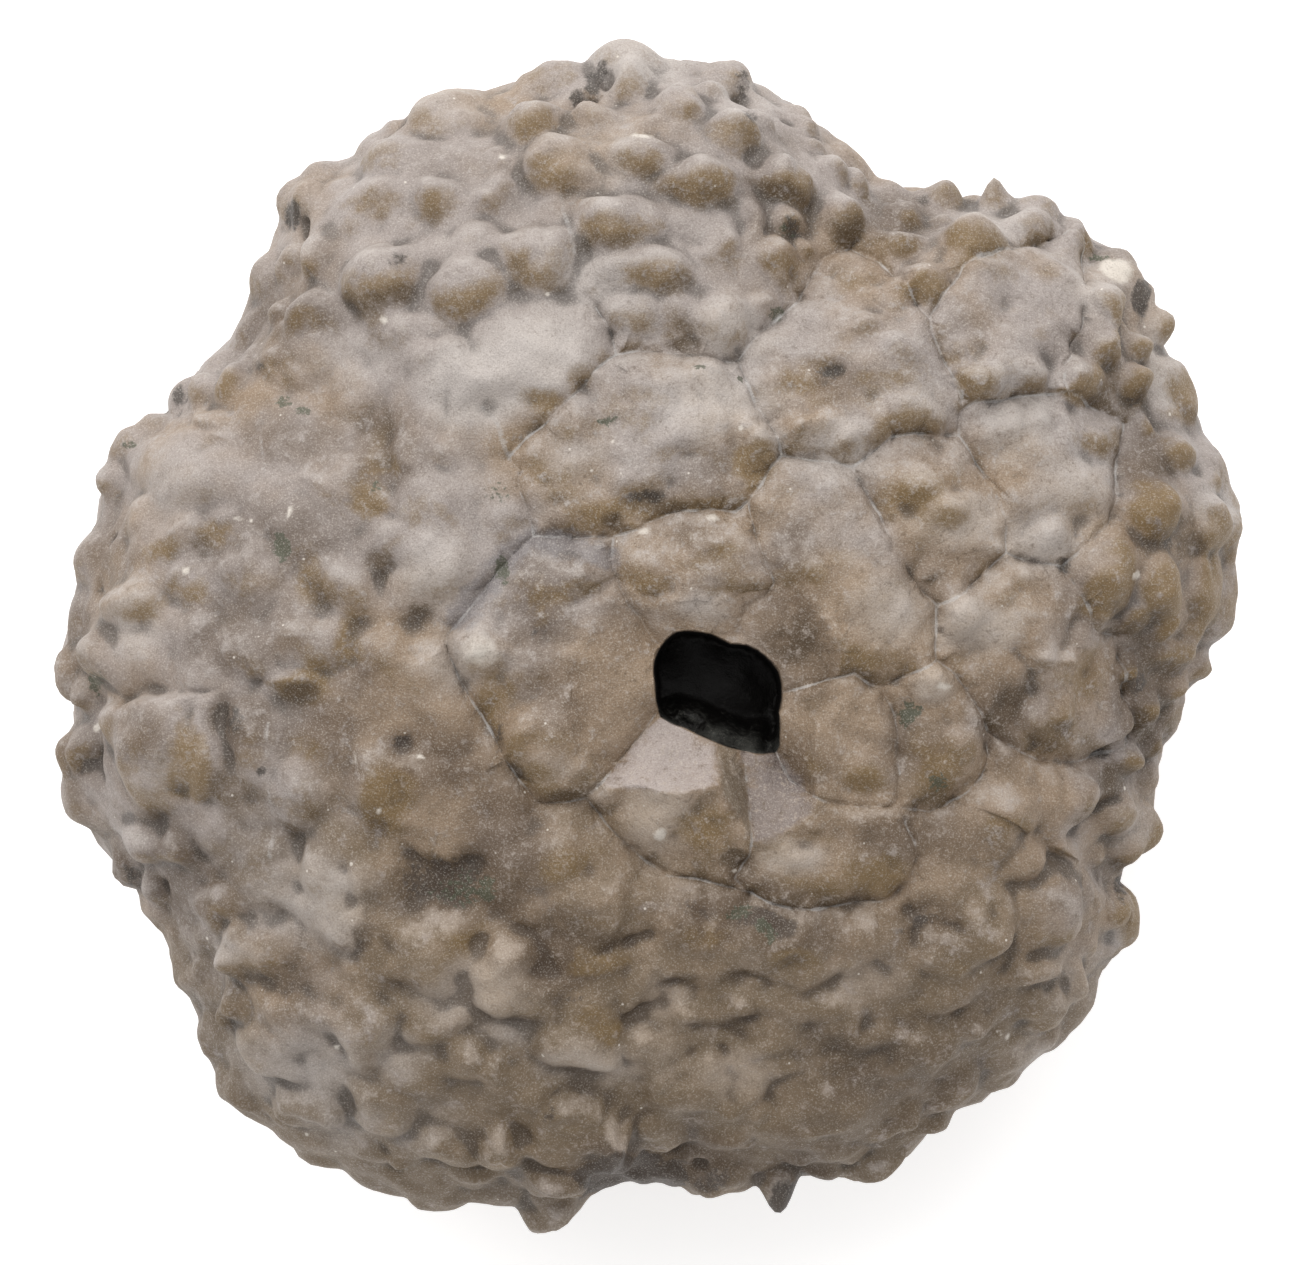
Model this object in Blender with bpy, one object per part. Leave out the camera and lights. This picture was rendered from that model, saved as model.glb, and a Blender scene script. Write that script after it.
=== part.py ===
"""Fossil crinoid: the stone body (calyx) of a sea lily, lying on its cup with its dome upward.

A crinoid's body is one case of fused plates. Its upper side is a low dome with one small
opening near the top, and five lobes at the rim, where the arms grew, are crowded with knobs.
Below the rim a cup narrows to the round scar of the stem. The animal has turned to stone, so
the whole calyx is one solid.

The calyx starts as an icosphere. A smooth body of the right outline and height is made from it
first, and then the sutures, knobs, pits, ridges and spines are raised or sunk along the
body's own normals. Lengths here are millimetres; the mesh is written in metres.

Frame: +Z up through the dome, the origin under the middle of the calyx, on the surface it
rests on.
"""
import math

import bmesh
import bpy
import numpy as np
from mathutils import Vector, noise

MM = 0.001                  # metres in a millimetre

# ---------------------------------------------------------------- driving dimensions
RIM_HEIGHT = 9.0            # rim plane above the resting surface
DOME_RISE = 8.2             # smooth dome above the rim plane
CUP_DROP = 8.6              # smooth cup below the rim plane
DOME_EXPONENT = 0.58        # below 1 makes the dome full at its rim
CUP_SQUARENESS = 2.4        # above 2 flattens the cup's floor
CUP_EXPONENT = 0.58
CUP_RADIUS = 16.2           # round outline that the lobes fade into, down the cup
LOBE_LEFT_BELOW = 0.35      # share of the lobes that is left at the cup's floor
UPPER_SHARE = 0.62          # share of the mesh that the dome gets

OPENING_DEPTH = 4.6
OPENING_WALL = 0.45         # run of the opening's wall, seen from above
FUNNEL_DEPTH = 0.80         # drop of the plates' inner faces from the crest to the opening

RIM_INSET = 0.45            # the stone between the rim's knobs lies this much further in
RIM_TIP_HEIGHT = RIM_HEIGHT + 0.7
LUMPS = 0.36                # height and spacing of the unevenness between the knobs
LUMP_SPACING = 1.6
LUMPS_ON_PLATES = 0.4       # share of it that the bare plates have
BEND = 0.26                 # how far noise shifts the foot of a knob, and over what distance
BEND_SPACING = 1.3
BEND_SEED = 1795467922      # fixes the noise that does the shifting, so each run gives one stone

PLATE_CROWN = 0.45          # rise of a plate between its sutures
PLATE_SHOULDER = 0.9        # distance over which it rises
SUTURE_DEPTH = 0.22
SUTURE_WIDTH = 0.40

RAY_AZIMUTHS = (110.0, 38.0, -34.0, -106.0, 178.0)    # the five lobes, in degrees

STEM_SCAR_RADIUS = 1.9
STEM_HOLLOW = 1.3           # the cup's floor rises round the stem scar
STEM_HOLLOW_RADIUS = 3.4
LUMEN_RADIUS = 0.55         # the canal in the middle of the scar
LUMEN_DEPTH = 0.7
FOOT_RADIUS = 7.4           # five worn nodes that the calyx rests on, one on each ray
FOOT_SIZE = 2.8
FOOT_RISE = 0.85

START_SUBDIVISIONS = 7      # 81,920 faces before thinning
SMOOTHING_ROUNDS = 2        # takes off what is too small for the faces kept
FACES_KEPT = 9500

STONE_COLOUR = (0.270, 0.222, 0.178, 1.0)
STONE_ROUGHNESS = 0.62

# ---------------------------------------------------------------- outline, clockwise
BODY_OUTLINE = (
    (-8.0, 14.8), (-6.0, 15.8), (-3.2, 16.4), (-0.6, 17.0), (2.4, 16.7), (4.6, 15.3),
    (6.6, 13.8), (8.2, 13.1), (10.0, 12.8), (11.8, 12.8), (13.4, 11.8), (14.7, 10.7),
    (15.3, 9.2), (15.9, 7.4), (16.6, 5.7), (17.3, 3.9), (17.4, 2.2), (17.0, 0.3),
    (16.3, -0.9), (15.7, -2.8), (15.0, -4.3), (14.8, -5.9), (14.0, -7.5), (14.3, -8.6),
    (13.5, -10.0), (12.9, -11.4), (11.4, -12.8), (9.3, -14.2), (7.1, -15.8), (4.9, -16.1),
    (2.2, -16.2), (0.0, -16.2), (-1.6, -16.5), (-3.1, -17.2), (-5.0, -16.8), (-7.5, -16.5),
    (-9.8, -15.6), (-12.0, -14.2), (-13.1, -12.3), (-13.7, -10.5), (-14.7, -8.4),
    (-15.8, -7.0), (-17.0, -5.3), (-17.3, -3.7), (-17.0, -2.2), (-17.5, -0.9), (-17.1, 1.0),
    (-16.7, 2.7), (-16.0, 4.3), (-15.7, 5.6), (-14.5, 6.4), (-13.6, 7.6), (-12.4, 8.7),
    (-11.6, 10.4), (-10.9, 12.0), (-10.5, 13.3), (-9.2, 14.0),
)

OPENING = (
    (0.9, 0.1), (2.0, 0.0), (3.0, -0.3), (3.6, -1.0), (4.1, -1.85), (3.95, -2.3),
    (4.0, -3.7), (3.0, -3.75), (2.0, -3.3), (1.0, -2.9), (0.35, -2.5), (0.15, -1.5),
    (0.1, -1.0), (0.5, -0.2),
)

# Line round the opening from which the plates' inner faces slope down to it
CREST = (
    (-1.9, 0.9), (-0.9, 1.4), (0.2, 1.1), (1.5, 1.0), (2.7, 1.2), (3.4, 1.3), (4.3, 1.3),
    (5.3, 0.5), (5.7, -0.4), (5.6, -1.2), (4.9, -1.8), (4.9, -2.6), (4.9, -3.6), (5.0, -4.6),
    (4.9, -5.2), (4.2, -5.7), (3.1, -6.1), (2.6, -5.0), (1.8, -4.6), (0.5, -4.7),
    (-0.5, -4.9), (-1.3, -4.7), (-1.7, -3.8), (-2.1, -3.0), (-2.2, -1.5), (-2.1, -0.2),
)

# Outline of the region where the plates are bare of knobs
PLATED = (
    (-5.9, -0.1), (-3.8, 2.9), (-4.1, 5.2), (-0.9, 8.25), (2.7, 8.1), (5.3, 11.2), (8.4, 9.2),
    (10.2, 11.0), (12.6, 12.0), (13.2, 11.0), (12.2, 7.1), (14.3, 6.3), (13.9, 4.0), (12.3, 2.0),
    (14.0, -0.1), (14.5, -2.9), (11.6, -3.75), (10.1, -4.0), (8.4, -5.3), (7.9, -7.4),
    (5.2, -8.15), (2.9, -7.6), (0.0, -6.8), (-1.8, -4.8), (-3.2, -5.0), (-5.5, -1.4),
)

# ---------------------------------------------------------------- sutures between plates
# Six plates ring the opening; the others follow outward, clockwise from the west.
SUTURES = (
    ((0.25, -2.4), (-0.6, -3.5), (-1.8, -4.8)),
    ((-1.8, -4.8), (-3.2, -5.0), (-4.2, -3.6), (-5.5, -1.4), (-5.9, -0.1), (-5.4, 0.5),
     (-4.5, 1.7), (-3.35, 2.9)),
    ((-3.35, 2.9), (-1.9, 2.87), (-0.2, 3.1), (0.8, 3.6), (2.6, 3.6), (3.0, 3.9)),
    ((-1.0, 2.9), (-1.05, 2.2), (-0.5, 0.8), (0.3, -0.3)),
    ((3.0, 3.9), (3.25, 2.8), (3.75, 1.5), (2.8, 0.4)),
    ((3.0, 3.9), (3.6, 4.8), (4.0, 5.3), (5.6, 5.1), (6.1, 4.95), (6.9, 3.5), (7.6, 2.1),
     (8.6, 0.85), (8.5, -0.75), (7.0, -1.6), (6.1, -1.15), (4.2, -1.7)),
    ((7.1, -1.9), (7.4, -2.4), (7.4, -5.0), (6.0, -5.05), (4.8, -4.7), (3.95, -3.6)),
    ((2.95, -3.7), (3.05, -6.0), (2.6, -7.2), (2.9, -7.6), (4.3, -8.1), (6.2, -8.0),
     (7.8, -7.4), (7.95, -6.9), (7.4, -5.0)),
    ((-1.8, -4.8), (-0.6, -6.2), (0.6, -7.15), (2.9, -7.6)),
    ((8.5, -0.75), (9.4, -1.6), (10.1, -2.9), (9.9, -4.2), (8.4, -5.3), (7.4, -5.1)),
    ((8.6, 0.85), (10.0, 1.8), (10.6, 2.4), (12.3, 2.0), (13.1, 0.2), (14.0, -0.1),
     (14.3, -2.2), (13.4, -3.6), (11.6, -3.75), (10.1, -2.9)),
    ((10.6, 2.4), (10.2, 4.5), (9.3, 5.9), (8.0, 5.95), (6.1, 4.95)),
    ((12.3, 2.0), (13.6, 3.3), (14.3, 6.3), (12.9, 6.8), (11.0, 7.05), (9.3, 6.6),
     (9.3, 5.9)),
    ((9.3, 6.9), (8.4, 8.9), (9.4, 10.6), (11.8, 11.8), (13.2, 11.0), (12.5, 8.5),
     (12.2, 7.1)),
    ((8.7, 8.3), (7.4, 10.5), (6.1, 11.4), (4.9, 10.6), (3.8, 9.3), (2.7, 8.1), (3.2, 6.7),
     (4.0, 5.4)),
    ((-3.5, 3.3), (-3.75, 4.8), (-2.3, 6.8), (-0.9, 8.25), (1.4, 8.25), (2.7, 8.1)),
)

# ---------------------------------------------------------------- knobs: x, y, half width,
# half height as seen from above, and rise. Neighbours meet in a crease.
NORTH_KNOBS = (
    (-10.3, 13.3, 0.45, 0.90, 0.46), (-9.9, 11.4, 0.55, 0.75, 0.70), (-9.9, 9.6, 0.80, 0.75, 0.70),
    (-7.9, 10.7, 1.30, 0.95, 0.98), (-8.3, 12.8, 1.30, 1.00, 0.46), (-7.6, 14.4, 1.40, 1.10, 0.69),
    (-6.3, 15.5, 1.30, 0.70, 0.52), (-6.2, 12.9, 0.75, 0.70, 0.68), (-3.4, 15.4, 1.10, 1.00, 1.01),
    (-5.3, 10.2, 1.30, 1.00, 0.83), (-3.3, 11.2, 1.40, 1.10, 0.90), (-5.0, 11.5, 0.90, 0.80, 0.45),
    (-3.0, 8.5, 1.90, 1.40, 0.90), (-5.3, 7.5, 1.10, 0.90, 0.57), (-6.3, 3.2, 1.30, 1.80, 0.52),
    (-0.6, 16.9, 0.75, 0.90, 0.86), (-2.9, 16.8, 0.80, 0.40, 0.46), (-1.5, 15.5, 0.60, 0.55, 0.65),
    (0.9, 16.0, 0.75, 0.95, 0.85), (2.4, 15.0, 0.85, 0.90, 0.85), (-2.7, 14.0, 0.90, 1.05, 0.98),
    (-0.2, 14.1, 1.30, 0.55, 0.68), (1.5, 13.5, 1.10, 0.75, 0.83), (3.9, 13.6, 1.00, 0.75, 1.01),
    (-0.8, 12.2, 1.40, 1.05, 1.05), (3.8, 11.3, 0.70, 0.70, 0.57), (5.8, 12.6, 0.75, 0.95, 0.93),
    (-0.1, 10.7, 1.50, 0.70, 0.68), (2.2, 9.3, 0.90, 0.85, 0.63), (-0.5, 9.5, 0.90, 0.60, 0.48),
)
EAST_KNOBS = (
    (15.9, 5.4, 0.85, 0.75, 0.55), (6.3, 13.6, 0.55, 0.75, 0.55), (7.8, 12.6, 0.55, 0.55, 0.59),
    (7.6, 11.6, 0.95, 0.45, 0.50), (10.0, 11.7, 1.10, 0.85, 0.85), (10.0, 10.9, 1.10, 0.40, 0.38),
    (11.8, 12.5, 0.80, 0.65, 0.60), (13.8, 10.0, 0.65, 0.75, 0.81), (13.6, 8.7, 0.75, 0.65, 0.81),
    (14.7, 8.7, 0.55, 0.55, 0.65), (12.9, 7.7, 0.90, 0.80, 0.83), (14.6, 7.5, 0.65, 0.65, 0.70),
    (8.3, 10.4, 0.85, 0.85, 0.57), (11.3, 7.7, 0.75, 0.50, 0.48), (8.5, 6.4, 0.65, 0.50, 0.51),
    (8.0, 4.4, 0.80, 0.80, 0.48), (8.8, 3.6, 0.90, 0.50, 0.48), (15.0, 3.7, 0.95, 1.05, 0.85),
    (17.0, 3.3, 0.90, 0.90, 0.80), (13.6, 1.9, 1.00, 1.50, 0.78), (15.4, 1.5, 0.95, 0.95, 0.85),
    (16.8, 1.5, 0.75, 1.30, 0.63), (15.9, -0.5, 0.95, 0.50, 0.48), (16.5, -1.1, 0.55, 0.55, 0.48),
    (15.1, -2.2, 0.55, 0.65, 0.59), (15.5, -3.3, 0.55, 0.55, 0.48), (14.5, -3.7, 0.65, 0.55, 0.59),
    (9.3, 0.6, 0.65, 0.65, 0.42), (11.5, -0.4, 0.65, 0.65, 0.38), (8.4, -1.4, 0.85, 0.65, 0.63),
    (9.4, -3.3, 0.65, 0.65, 0.42),
)
SOUTH_KNOBS = (
    (14.2, -5.6, 0.70, 0.50, 0.59), (14.6, -6.5, 0.65, 0.55, 0.55), (12.5, -6.7, 0.85, 0.55, 0.65),
    (12.2, -8.3, 1.20, 1.00, 0.93), (14.3, -8.5, 0.75, 0.65, 0.60), (13.2, -9.5, 0.55, 0.55, 0.48),
    (11.5, -10.0, 1.05, 0.45, 0.65), (12.8, -10.4, 0.65, 0.65, 0.55),
    (12.0, -11.3, 0.95, 0.55, 0.74), (10.0, -11.5, 0.55, 0.65, 0.65),
    (11.8, -12.2, 0.55, 0.55, 0.44), (10.0, -8.7, 1.10, 1.00, 0.63), (10.5, -5.2, 1.35, 1.00, 0.57),
    (12.8, -4.8, 0.75, 0.75, 0.50), (6.2, -11.2, 0.55, 0.55, 0.48), (3.7, -14.0, 0.75, 0.45, 0.59),
    (4.5, -15.5, 0.60, 0.60, 0.44), (7.9, -14.5, 0.75, 0.55, 0.48), (2.2, -16.3, 0.95, 0.55, 0.55),
    (6.9, -16.1, 0.55, 0.55, 0.48), (-4.0, -10.3, 1.40, 1.20, 0.83), (-6.3, -9.6, 1.20, 1.00, 0.68),
    (-1.5, -11.4, 1.00, 0.55, 0.57), (-2.0, -12.3, 1.40, 0.90, 0.83),
    (-6.3, -11.5, 1.00, 0.70, 0.63), (-8.5, -11.6, 1.10, 1.10, 0.68),
    (-1.7, -15.3, 1.30, 1.20, 1.01), (-3.0, -16.5, 1.05, 0.85, 0.90),
    (-4.3, -15.4, 0.85, 0.65, 0.74), (-6.0, -15.4, 1.05, 0.75, 0.74),
    (-5.2, -16.3, 0.65, 0.55, 0.48), (-8.3, -15.6, 0.75, 0.55, 0.48), (8.7, -9.3, 1.30, 0.55, 0.40),
    (5.5, -11.0, 1.30, 0.45, 0.38), (6.6, -11.8, 1.20, 0.50, 0.38), (8.2, -12.3, 1.30, 1.00, 0.68),
    (5.0, -13.9, 2.10, 1.40, 0.81), (1.2, -13.2, 1.50, 0.90, 0.45), (9.4, -13.7, 1.10, 0.80, 0.45),
    (8.9, -10.5, 0.90, 0.70, 0.45), (3.0, -11.0, 0.90, 0.40, 0.36), (-0.2, -12.0, 0.90, 0.70, 0.40),
    (7.0, -14.9, 0.90, 0.70, 0.54), (6.0, -15.6, 0.80, 0.50, 0.40), (2.6, -15.0, 0.90, 0.60, 0.54),
    (0.3, -14.9, 0.90, 0.70, 0.54), (11.0, -12.8, 0.80, 0.60, 0.38), (4.0, -9.0, 1.50, 0.50, 0.22),
    (1.3, -8.6, 1.30, 0.60, 0.26), (6.5, -8.9, 1.00, 0.50, 0.26), (-9.5, -11.2, 1.10, 0.70, 0.40),
    (-11.2, -12.4, 1.20, 0.80, 0.57), (-10.4, -14.2, 1.00, 0.70, 0.54),
    (-4.9, -12.8, 1.10, 0.50, 0.40), (-6.9, -12.9, 1.00, 0.70, 0.36),
    (-3.5, -13.5, 0.70, 0.50, 0.34), (-10.8, -9.3, 0.55, 0.60, 0.34),
    (-12.6, -8.0, 1.00, 0.80, 0.46), (-12.4, -6.0, 0.90, 0.90, 0.30),
    (-3.0, -6.6, 1.40, 1.00, 0.34), (-1.6, -7.9, 1.20, 0.80, 0.34), (-4.2, -5.8, 0.90, 0.50, 0.26),
    (-8.0, -14.0, 1.10, 1.00, 0.65), (-9.7, -14.2, 0.65, 0.65, 0.59),
)
WEST_KNOBS = (
    (-11.9, -9.7, 0.95, 0.90, 0.85), (-15.0, -6.2, 1.05, 0.65, 0.81),
    (-14.0, -6.3, 0.65, 0.65, 0.59), (-14.9, -7.7, 0.55, 0.55, 0.44),
    (-12.5, -11.2, 0.55, 0.55, 0.50), (-10.5, -11.5, 1.10, 1.00, 0.53),
    (-14.4, -3.4, 2.10, 1.85, 1.19), (-15.8, -2.5, 0.70, 0.95, 0.77),
    (-16.5, -0.8, 0.85, 0.65, 0.81), (-17.0, -1.8, 0.55, 0.55, 0.55),
    (-17.1, -3.5, 0.65, 0.70, 0.57), (-15.5, 0.8, 1.35, 0.70, 0.70),
    (-10.4, -1.4, 0.95, 0.75, 0.47), (-11.5, -3.1, 0.80, 1.30, 0.44),
    (-13.0, 6.3, 0.95, 0.45, 0.50), (-13.4, 7.4, 0.75, 0.60, 0.52), (-12.4, 7.5, 0.55, 0.80, 0.50),
    (-13.5, 4.8, 2.20, 1.30, 0.35), (-15.3, 3.5, 0.80, 0.60, 0.50), (-10.5, 8.3, 1.70, 1.20, 0.43),
    (-11.5, 1.9, 1.20, 0.90, 0.40), (-8.7, 1.3, 0.75, 1.00, 0.40), (-6.3, 1.9, 1.00, 1.00, 0.47),
    (-9.3, 4.5, 1.20, 0.80, 0.30), (-11.6, -0.6, 1.00, 0.70, 0.40), (-9.9, -0.2, 1.10, 0.70, 0.35),
    (-7.7, -0.7, 0.90, 1.00, 0.35), (-10.3, -4.6, 0.90, 1.30, 0.40), (-9.1, -7.6, 1.35, 1.90, 0.75),
    (-11.2, -7.0, 1.50, 1.00, 0.38), (-7.7, -4.3, 1.20, 1.20, 0.44), (-6.3, -4.4, 0.70, 0.90, 0.35),
    (-6.3, -1.4, 1.00, 1.10, 0.28), (-12.9, -1.3, 0.60, 0.60, 0.38), (-13.6, 3.0, 0.70, 0.60, 0.30),
    (-4.9, -0.5, 0.95, 0.85, 0.62), (-3.2, -3.1, 1.30, 1.20, 0.50), (3.5, 5.4, 0.55, 0.55, 0.33),
    (-6.6, 5.2, 1.00, 0.90, 0.25), (-8.9, 7.2, 1.00, 0.80, 0.22),
)
KNOB_EXPONENT = 0.82

# ---------------------------------------------------------------- knobs that stand out of the
# rim: x and y of the tip and half width. Each rises from the outline to its tip.
RIM_TIPS = (
    (17.95, 3.3, 1.38), (17.7, 1.2, 1.30), (16.85, -1.1, 0.65), (16.1, -2.6, 0.87),
    (15.35, -4.4, 0.72), (15.3, -6.1, 0.87), (14.95, -8.65, 0.87), (14.0, -9.7, 0.58),
    (13.4, -11.1, 0.87), (12.4, -12.2, 0.72), (10.9, -13.5, 0.87), (9.0, -14.8, 0.87),
    (7.05, -16.5, 0.87), (5.3, -16.4, 0.87), (2.2, -16.9, 1.16), (0.2, -16.5, 0.87),
    (-2.75, -17.8, 1.16), (-4.6, -17.2, 0.87), (-6.2, -17.05, 1.16), (-8.3, -16.5, 1.16),
    (-10.5, -15.4, 1.30), (-12.7, -14.0, 0.87), (-13.4, -12.2, 0.87), (-14.05, -10.2, 0.80),
    (-15.0, -8.4, 0.72), (-16.1, -7.2, 0.58), (-17.6, -5.0, 0.94), (-17.8, -3.7, 0.65),
    (-17.95, -1.4, 0.87), (-17.4, 0.7, 0.87), (-17.25, 2.1, 0.87), (-16.5, 4.7, 0.72),
    (-15.8, 6.1, 0.72), (-14.2, 7.3, 0.72), (-13.1, 8.4, 0.65), (-12.3, 9.4, 0.58),
    (-11.75, 11.0, 0.87), (-11.0, 13.1, 0.87), (-9.9, 14.1, 0.65), (-8.3, 15.15, 0.80),
    (-6.3, 16.25, 1.30), (-3.1, 16.92, 1.09), (-0.7, 17.7, 1.09), (0.9, 17.05, 0.72),
    (2.5, 17.25, 0.87), (4.6, 15.8, 0.58), (6.3, 14.35, 0.72), (7.6, 13.6, 0.58),
    (8.9, 13.6, 0.72), (11.7, 13.3, 0.87), (13.3, 12.35, 0.58), (14.6, 11.5, 0.80),
    (15.15, 10.3, 0.58), (15.75, 9.4, 0.58), (16.3, 7.4, 1.16), (17.2, 5.0, 0.87),
)
SPINE_TIPS = ((10.35, 13.95, 0.60), (4.1, -17.6, 0.95))
RIM_TIP_EXPONENT = 0.65
SPINE_EXPONENT = 1.4

# ---------------------------------------------------------------- ridges: rise, half width and
# line. Their sides are straight.
RIDGES = (
    (0.30, 0.70, ((3.1, -6.1), (4.2, -5.7), (5.1, -5.0))),
    (0.25, 0.60, ((-1.2, -4.7), (0.4, -4.6), (2.0, -4.6))),
    (0.20, 0.50, ((6.1, 7.6), (6.8, 7.95), (7.4, 7.6))),
    (0.25, 0.55, ((8.0, 2.9), (9.0, 2.5), (10.3, 2.5))),
    (0.25, 0.55, ((0.9, 9.5), (1.6, 8.8))),
    (0.22, 0.50, ((11.8, -4.2), (11.8, -5.8))),
    (0.28, 0.60, ((1.2, -14.0), (2.8, -13.4))),
    (0.30, 0.70, ((-5.2, -12.2), (-4.3, -13.2))),
    (0.26, 0.50, ((-13.0, -9.0), (-12.0, -8.6), (-11.1, -8.9), (-10.8, -9.6))),
    (0.30, 0.60, ((-2.6, -14.0), (-1.7, -13.8), (-0.8, -14.3))),
    (0.20, 0.45, ((-10.9, -2.8), (-10.9, -6.2))),
    (0.24, 0.50, ((-8.0, -3.6), (-8.3, -4.4), (-8.0, -5.0), (-7.2, -5.5))),
    (0.18, 0.40, ((-0.6, 14.6), (0.2, 14.9))),
    (0.22, 0.45, ((1.8, 6.9), (2.3, 6.0), (3.3, 5.7))),
    (0.25, 0.60, ((3.1, 6.4), (2.3, 7.3), (1.6, 7.6))),
    (0.30, 0.70, ((-4.7, 7.2), (-5.6, 7.9))),
)

# ---------------------------------------------------------------- ledges: drop, reach of the
# slope below, and line, with the drop on the right of the way it runs
LEDGES = (
    (0.55, 1.1, ((10.3, -7.6), (11.0, -7.2), (11.7, -6.6), (12.3, -5.9), (13.0, -5.5), (13.6, -4.9),
                 (14.1, -4.6))),
    (0.35, 0.7, ((9.9, -7.6), (10.3, -8.2), (10.8, -9.0), (10.3, -9.8), (9.6, -10.2))),
    (0.35, 0.9, ((-1.0, -10.9), (0.0, -10.7), (0.9, -10.2))),
    (0.45, 1.0, ((0.0, -10.1), (1.5, -9.7), (3.0, -9.9), (4.5, -10.2), (6.0, -9.9), (6.8, -9.4))),
    (0.30, 0.8, ((1.0, -11.6), (1.9, -11.6), (2.6, -11.2), (3.4, -11.4))),
    (0.35, 0.9, ((3.0, -13.5), (4.0, -12.9), (5.0, -12.7), (6.0, -13.0))),
    (0.35, 0.9, ((-5.5, -10.8), (-4.4, -11.3), (-3.4, -11.6))),
    (0.40, 0.9, ((-4.8, -7.6), (-3.8, -8.6), (-3.0, -9.3), (-2.3, -9.7))),
    (0.50, 0.8, ((-12.9, -2.0), (-12.8, -3.2), (-13.0, -4.2), (-13.4, -5.0))),
    (0.35, 0.8, ((-8.6, -6.4), (-8.2, -7.6), (-8.1, -8.8), (-8.6, -9.8))),
    (0.35, 0.7, ((-7.4, -6.3), (-6.0, -6.6), (-4.6, -6.7))),
)

# ---------------------------------------------------------------- pits: x, y, half sizes, depth
PITS = (
    (14.85, 10.15, 0.36, 0.60, 1.00), (5.5, 7.75, 0.70, 0.36, 0.40), (10.7, -2.0, 1.00, 1.20, 0.35),
    (13.4, -3.6, 0.55, 0.30, 0.40), (11.7, -9.4, 0.85, 0.30, 0.45), (8.1, -8.6, 1.00, 0.28, 0.50),
    (-0.9, -9.4, 1.00, 0.55, 0.45), (0.6, -10.4, 0.60, 0.25, 0.35), (2.9, -10.4, 0.75, 0.30, 0.30),
    (2.4, -12.6, 0.55, 0.26, 0.35), (1.0, -15.9, 1.20, 0.45, 0.60), (-12.2, -2.8, 0.50, 1.06, 0.25),
    (-12.4, 0.15, 0.62, 0.50, 0.19), (-13.5, 0.8, 0.50, 0.94, 0.15), (-10.8, 2.6, 0.40, 0.69, 0.19),
    (-7.8, 5.2, 0.69, 0.56, 0.19), (-11.3, 7.9, 0.62, 0.62, 0.19), (-2.1, 16.2, 0.35, 0.75, 0.60),
    (-5.9, -7.2, 1.88, 0.88, 0.22), (0.1, 4.2, 1.10, 0.45, 0.26), (-9.6, 1.1, 0.62, 1.12, 0.14),
    (-7.8, 1.8, 0.69, 0.75, 0.17), (-6.8, 0.5, 0.62, 0.56, 0.14), (-8.5, -0.1, 0.62, 0.88, 0.12),
    (-10.2, -6.1, 0.62, 0.50, 0.14), (-8.3, -8.6, 0.50, 1.25, 0.17),
    (-10.5, -9.2, 0.62, 0.81, 0.17), (-14.4, -3.5, 0.75, 0.75, 0.15), (-1.1, 6.4, 0.55, 0.30, 0.24),
    (-2.5, 3.8, 0.60, 0.40, 0.20), (1.1, 8.6, 0.70, 0.25, 0.24), (7.7, -2.4, 0.40, 0.60, 0.24),
    (2.6, -8.3, 0.55, 0.35, 0.20), (8.5, 1.3, 0.60, 0.60, 0.22),
)

PIT_EXPONENT = 2.0

# ---------------------------------------------------------------- plates of the cup, below:
# number in each ring, ring radius and the azimuth of the first plate
CUP_RINGS = ((3, 3.1, 50.0), (5, FOOT_RADIUS, 38.0), (10, 10.6, 20.0), (15, 13.4, 8.0), (20, 15.6, 2.0))
CUP_NODE_SIZE = 1.5
CUP_NODE_RISE = 0.45


def smooth_loop(points, steps=8):
    """Catmull-Rom curve through a closed list of points."""
    ring = np.array(points)
    before, after, next_after = (np.roll(ring, shift, axis=0) for shift in (1, -1, -2))
    pieces = []
    for t in np.arange(steps) / steps:
        pieces.append(0.5 * (2 * ring + (after - before) * t
                             + (2 * before - 5 * ring + 4 * after - next_after) * t ** 2
                             + (3 * ring - before - 3 * after + next_after) * t ** 3))
    return np.stack(pieces, axis=1).reshape(-1, 2)


OUTLINE = smooth_loop(BODY_OUTLINE)
OUTLINE_ANGLES = np.arctan2(OUTLINE[:, 1], OUTLINE[:, 0])
OUTLINE_RADII = np.hypot(OUTLINE[:, 0], OUTLINE[:, 1])


def outline_radius(angle):
    return np.interp(angle, OUTLINE_ANGLES, OUTLINE_RADII, period=2 * math.pi)


def smooth_step(value):
    t = np.clip(value, 0.0, 1.0)
    return t * t * (3.0 - 2.0 * t)


def dome_height(x, y):
    """Height of the smooth dome over a point seen from above."""
    share = np.minimum(np.hypot(x, y) / outline_radius(np.arctan2(y, x)), 1.0)
    return RIM_HEIGHT + DOME_RISE * (1.0 - share ** 2) ** DOME_EXPONENT


def cup_height(share):
    """Height of the smooth cup at a share of its radius."""
    return RIM_HEIGHT - CUP_DROP * (1.0 - share ** CUP_SQUARENESS) ** CUP_EXPONENT


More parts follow.
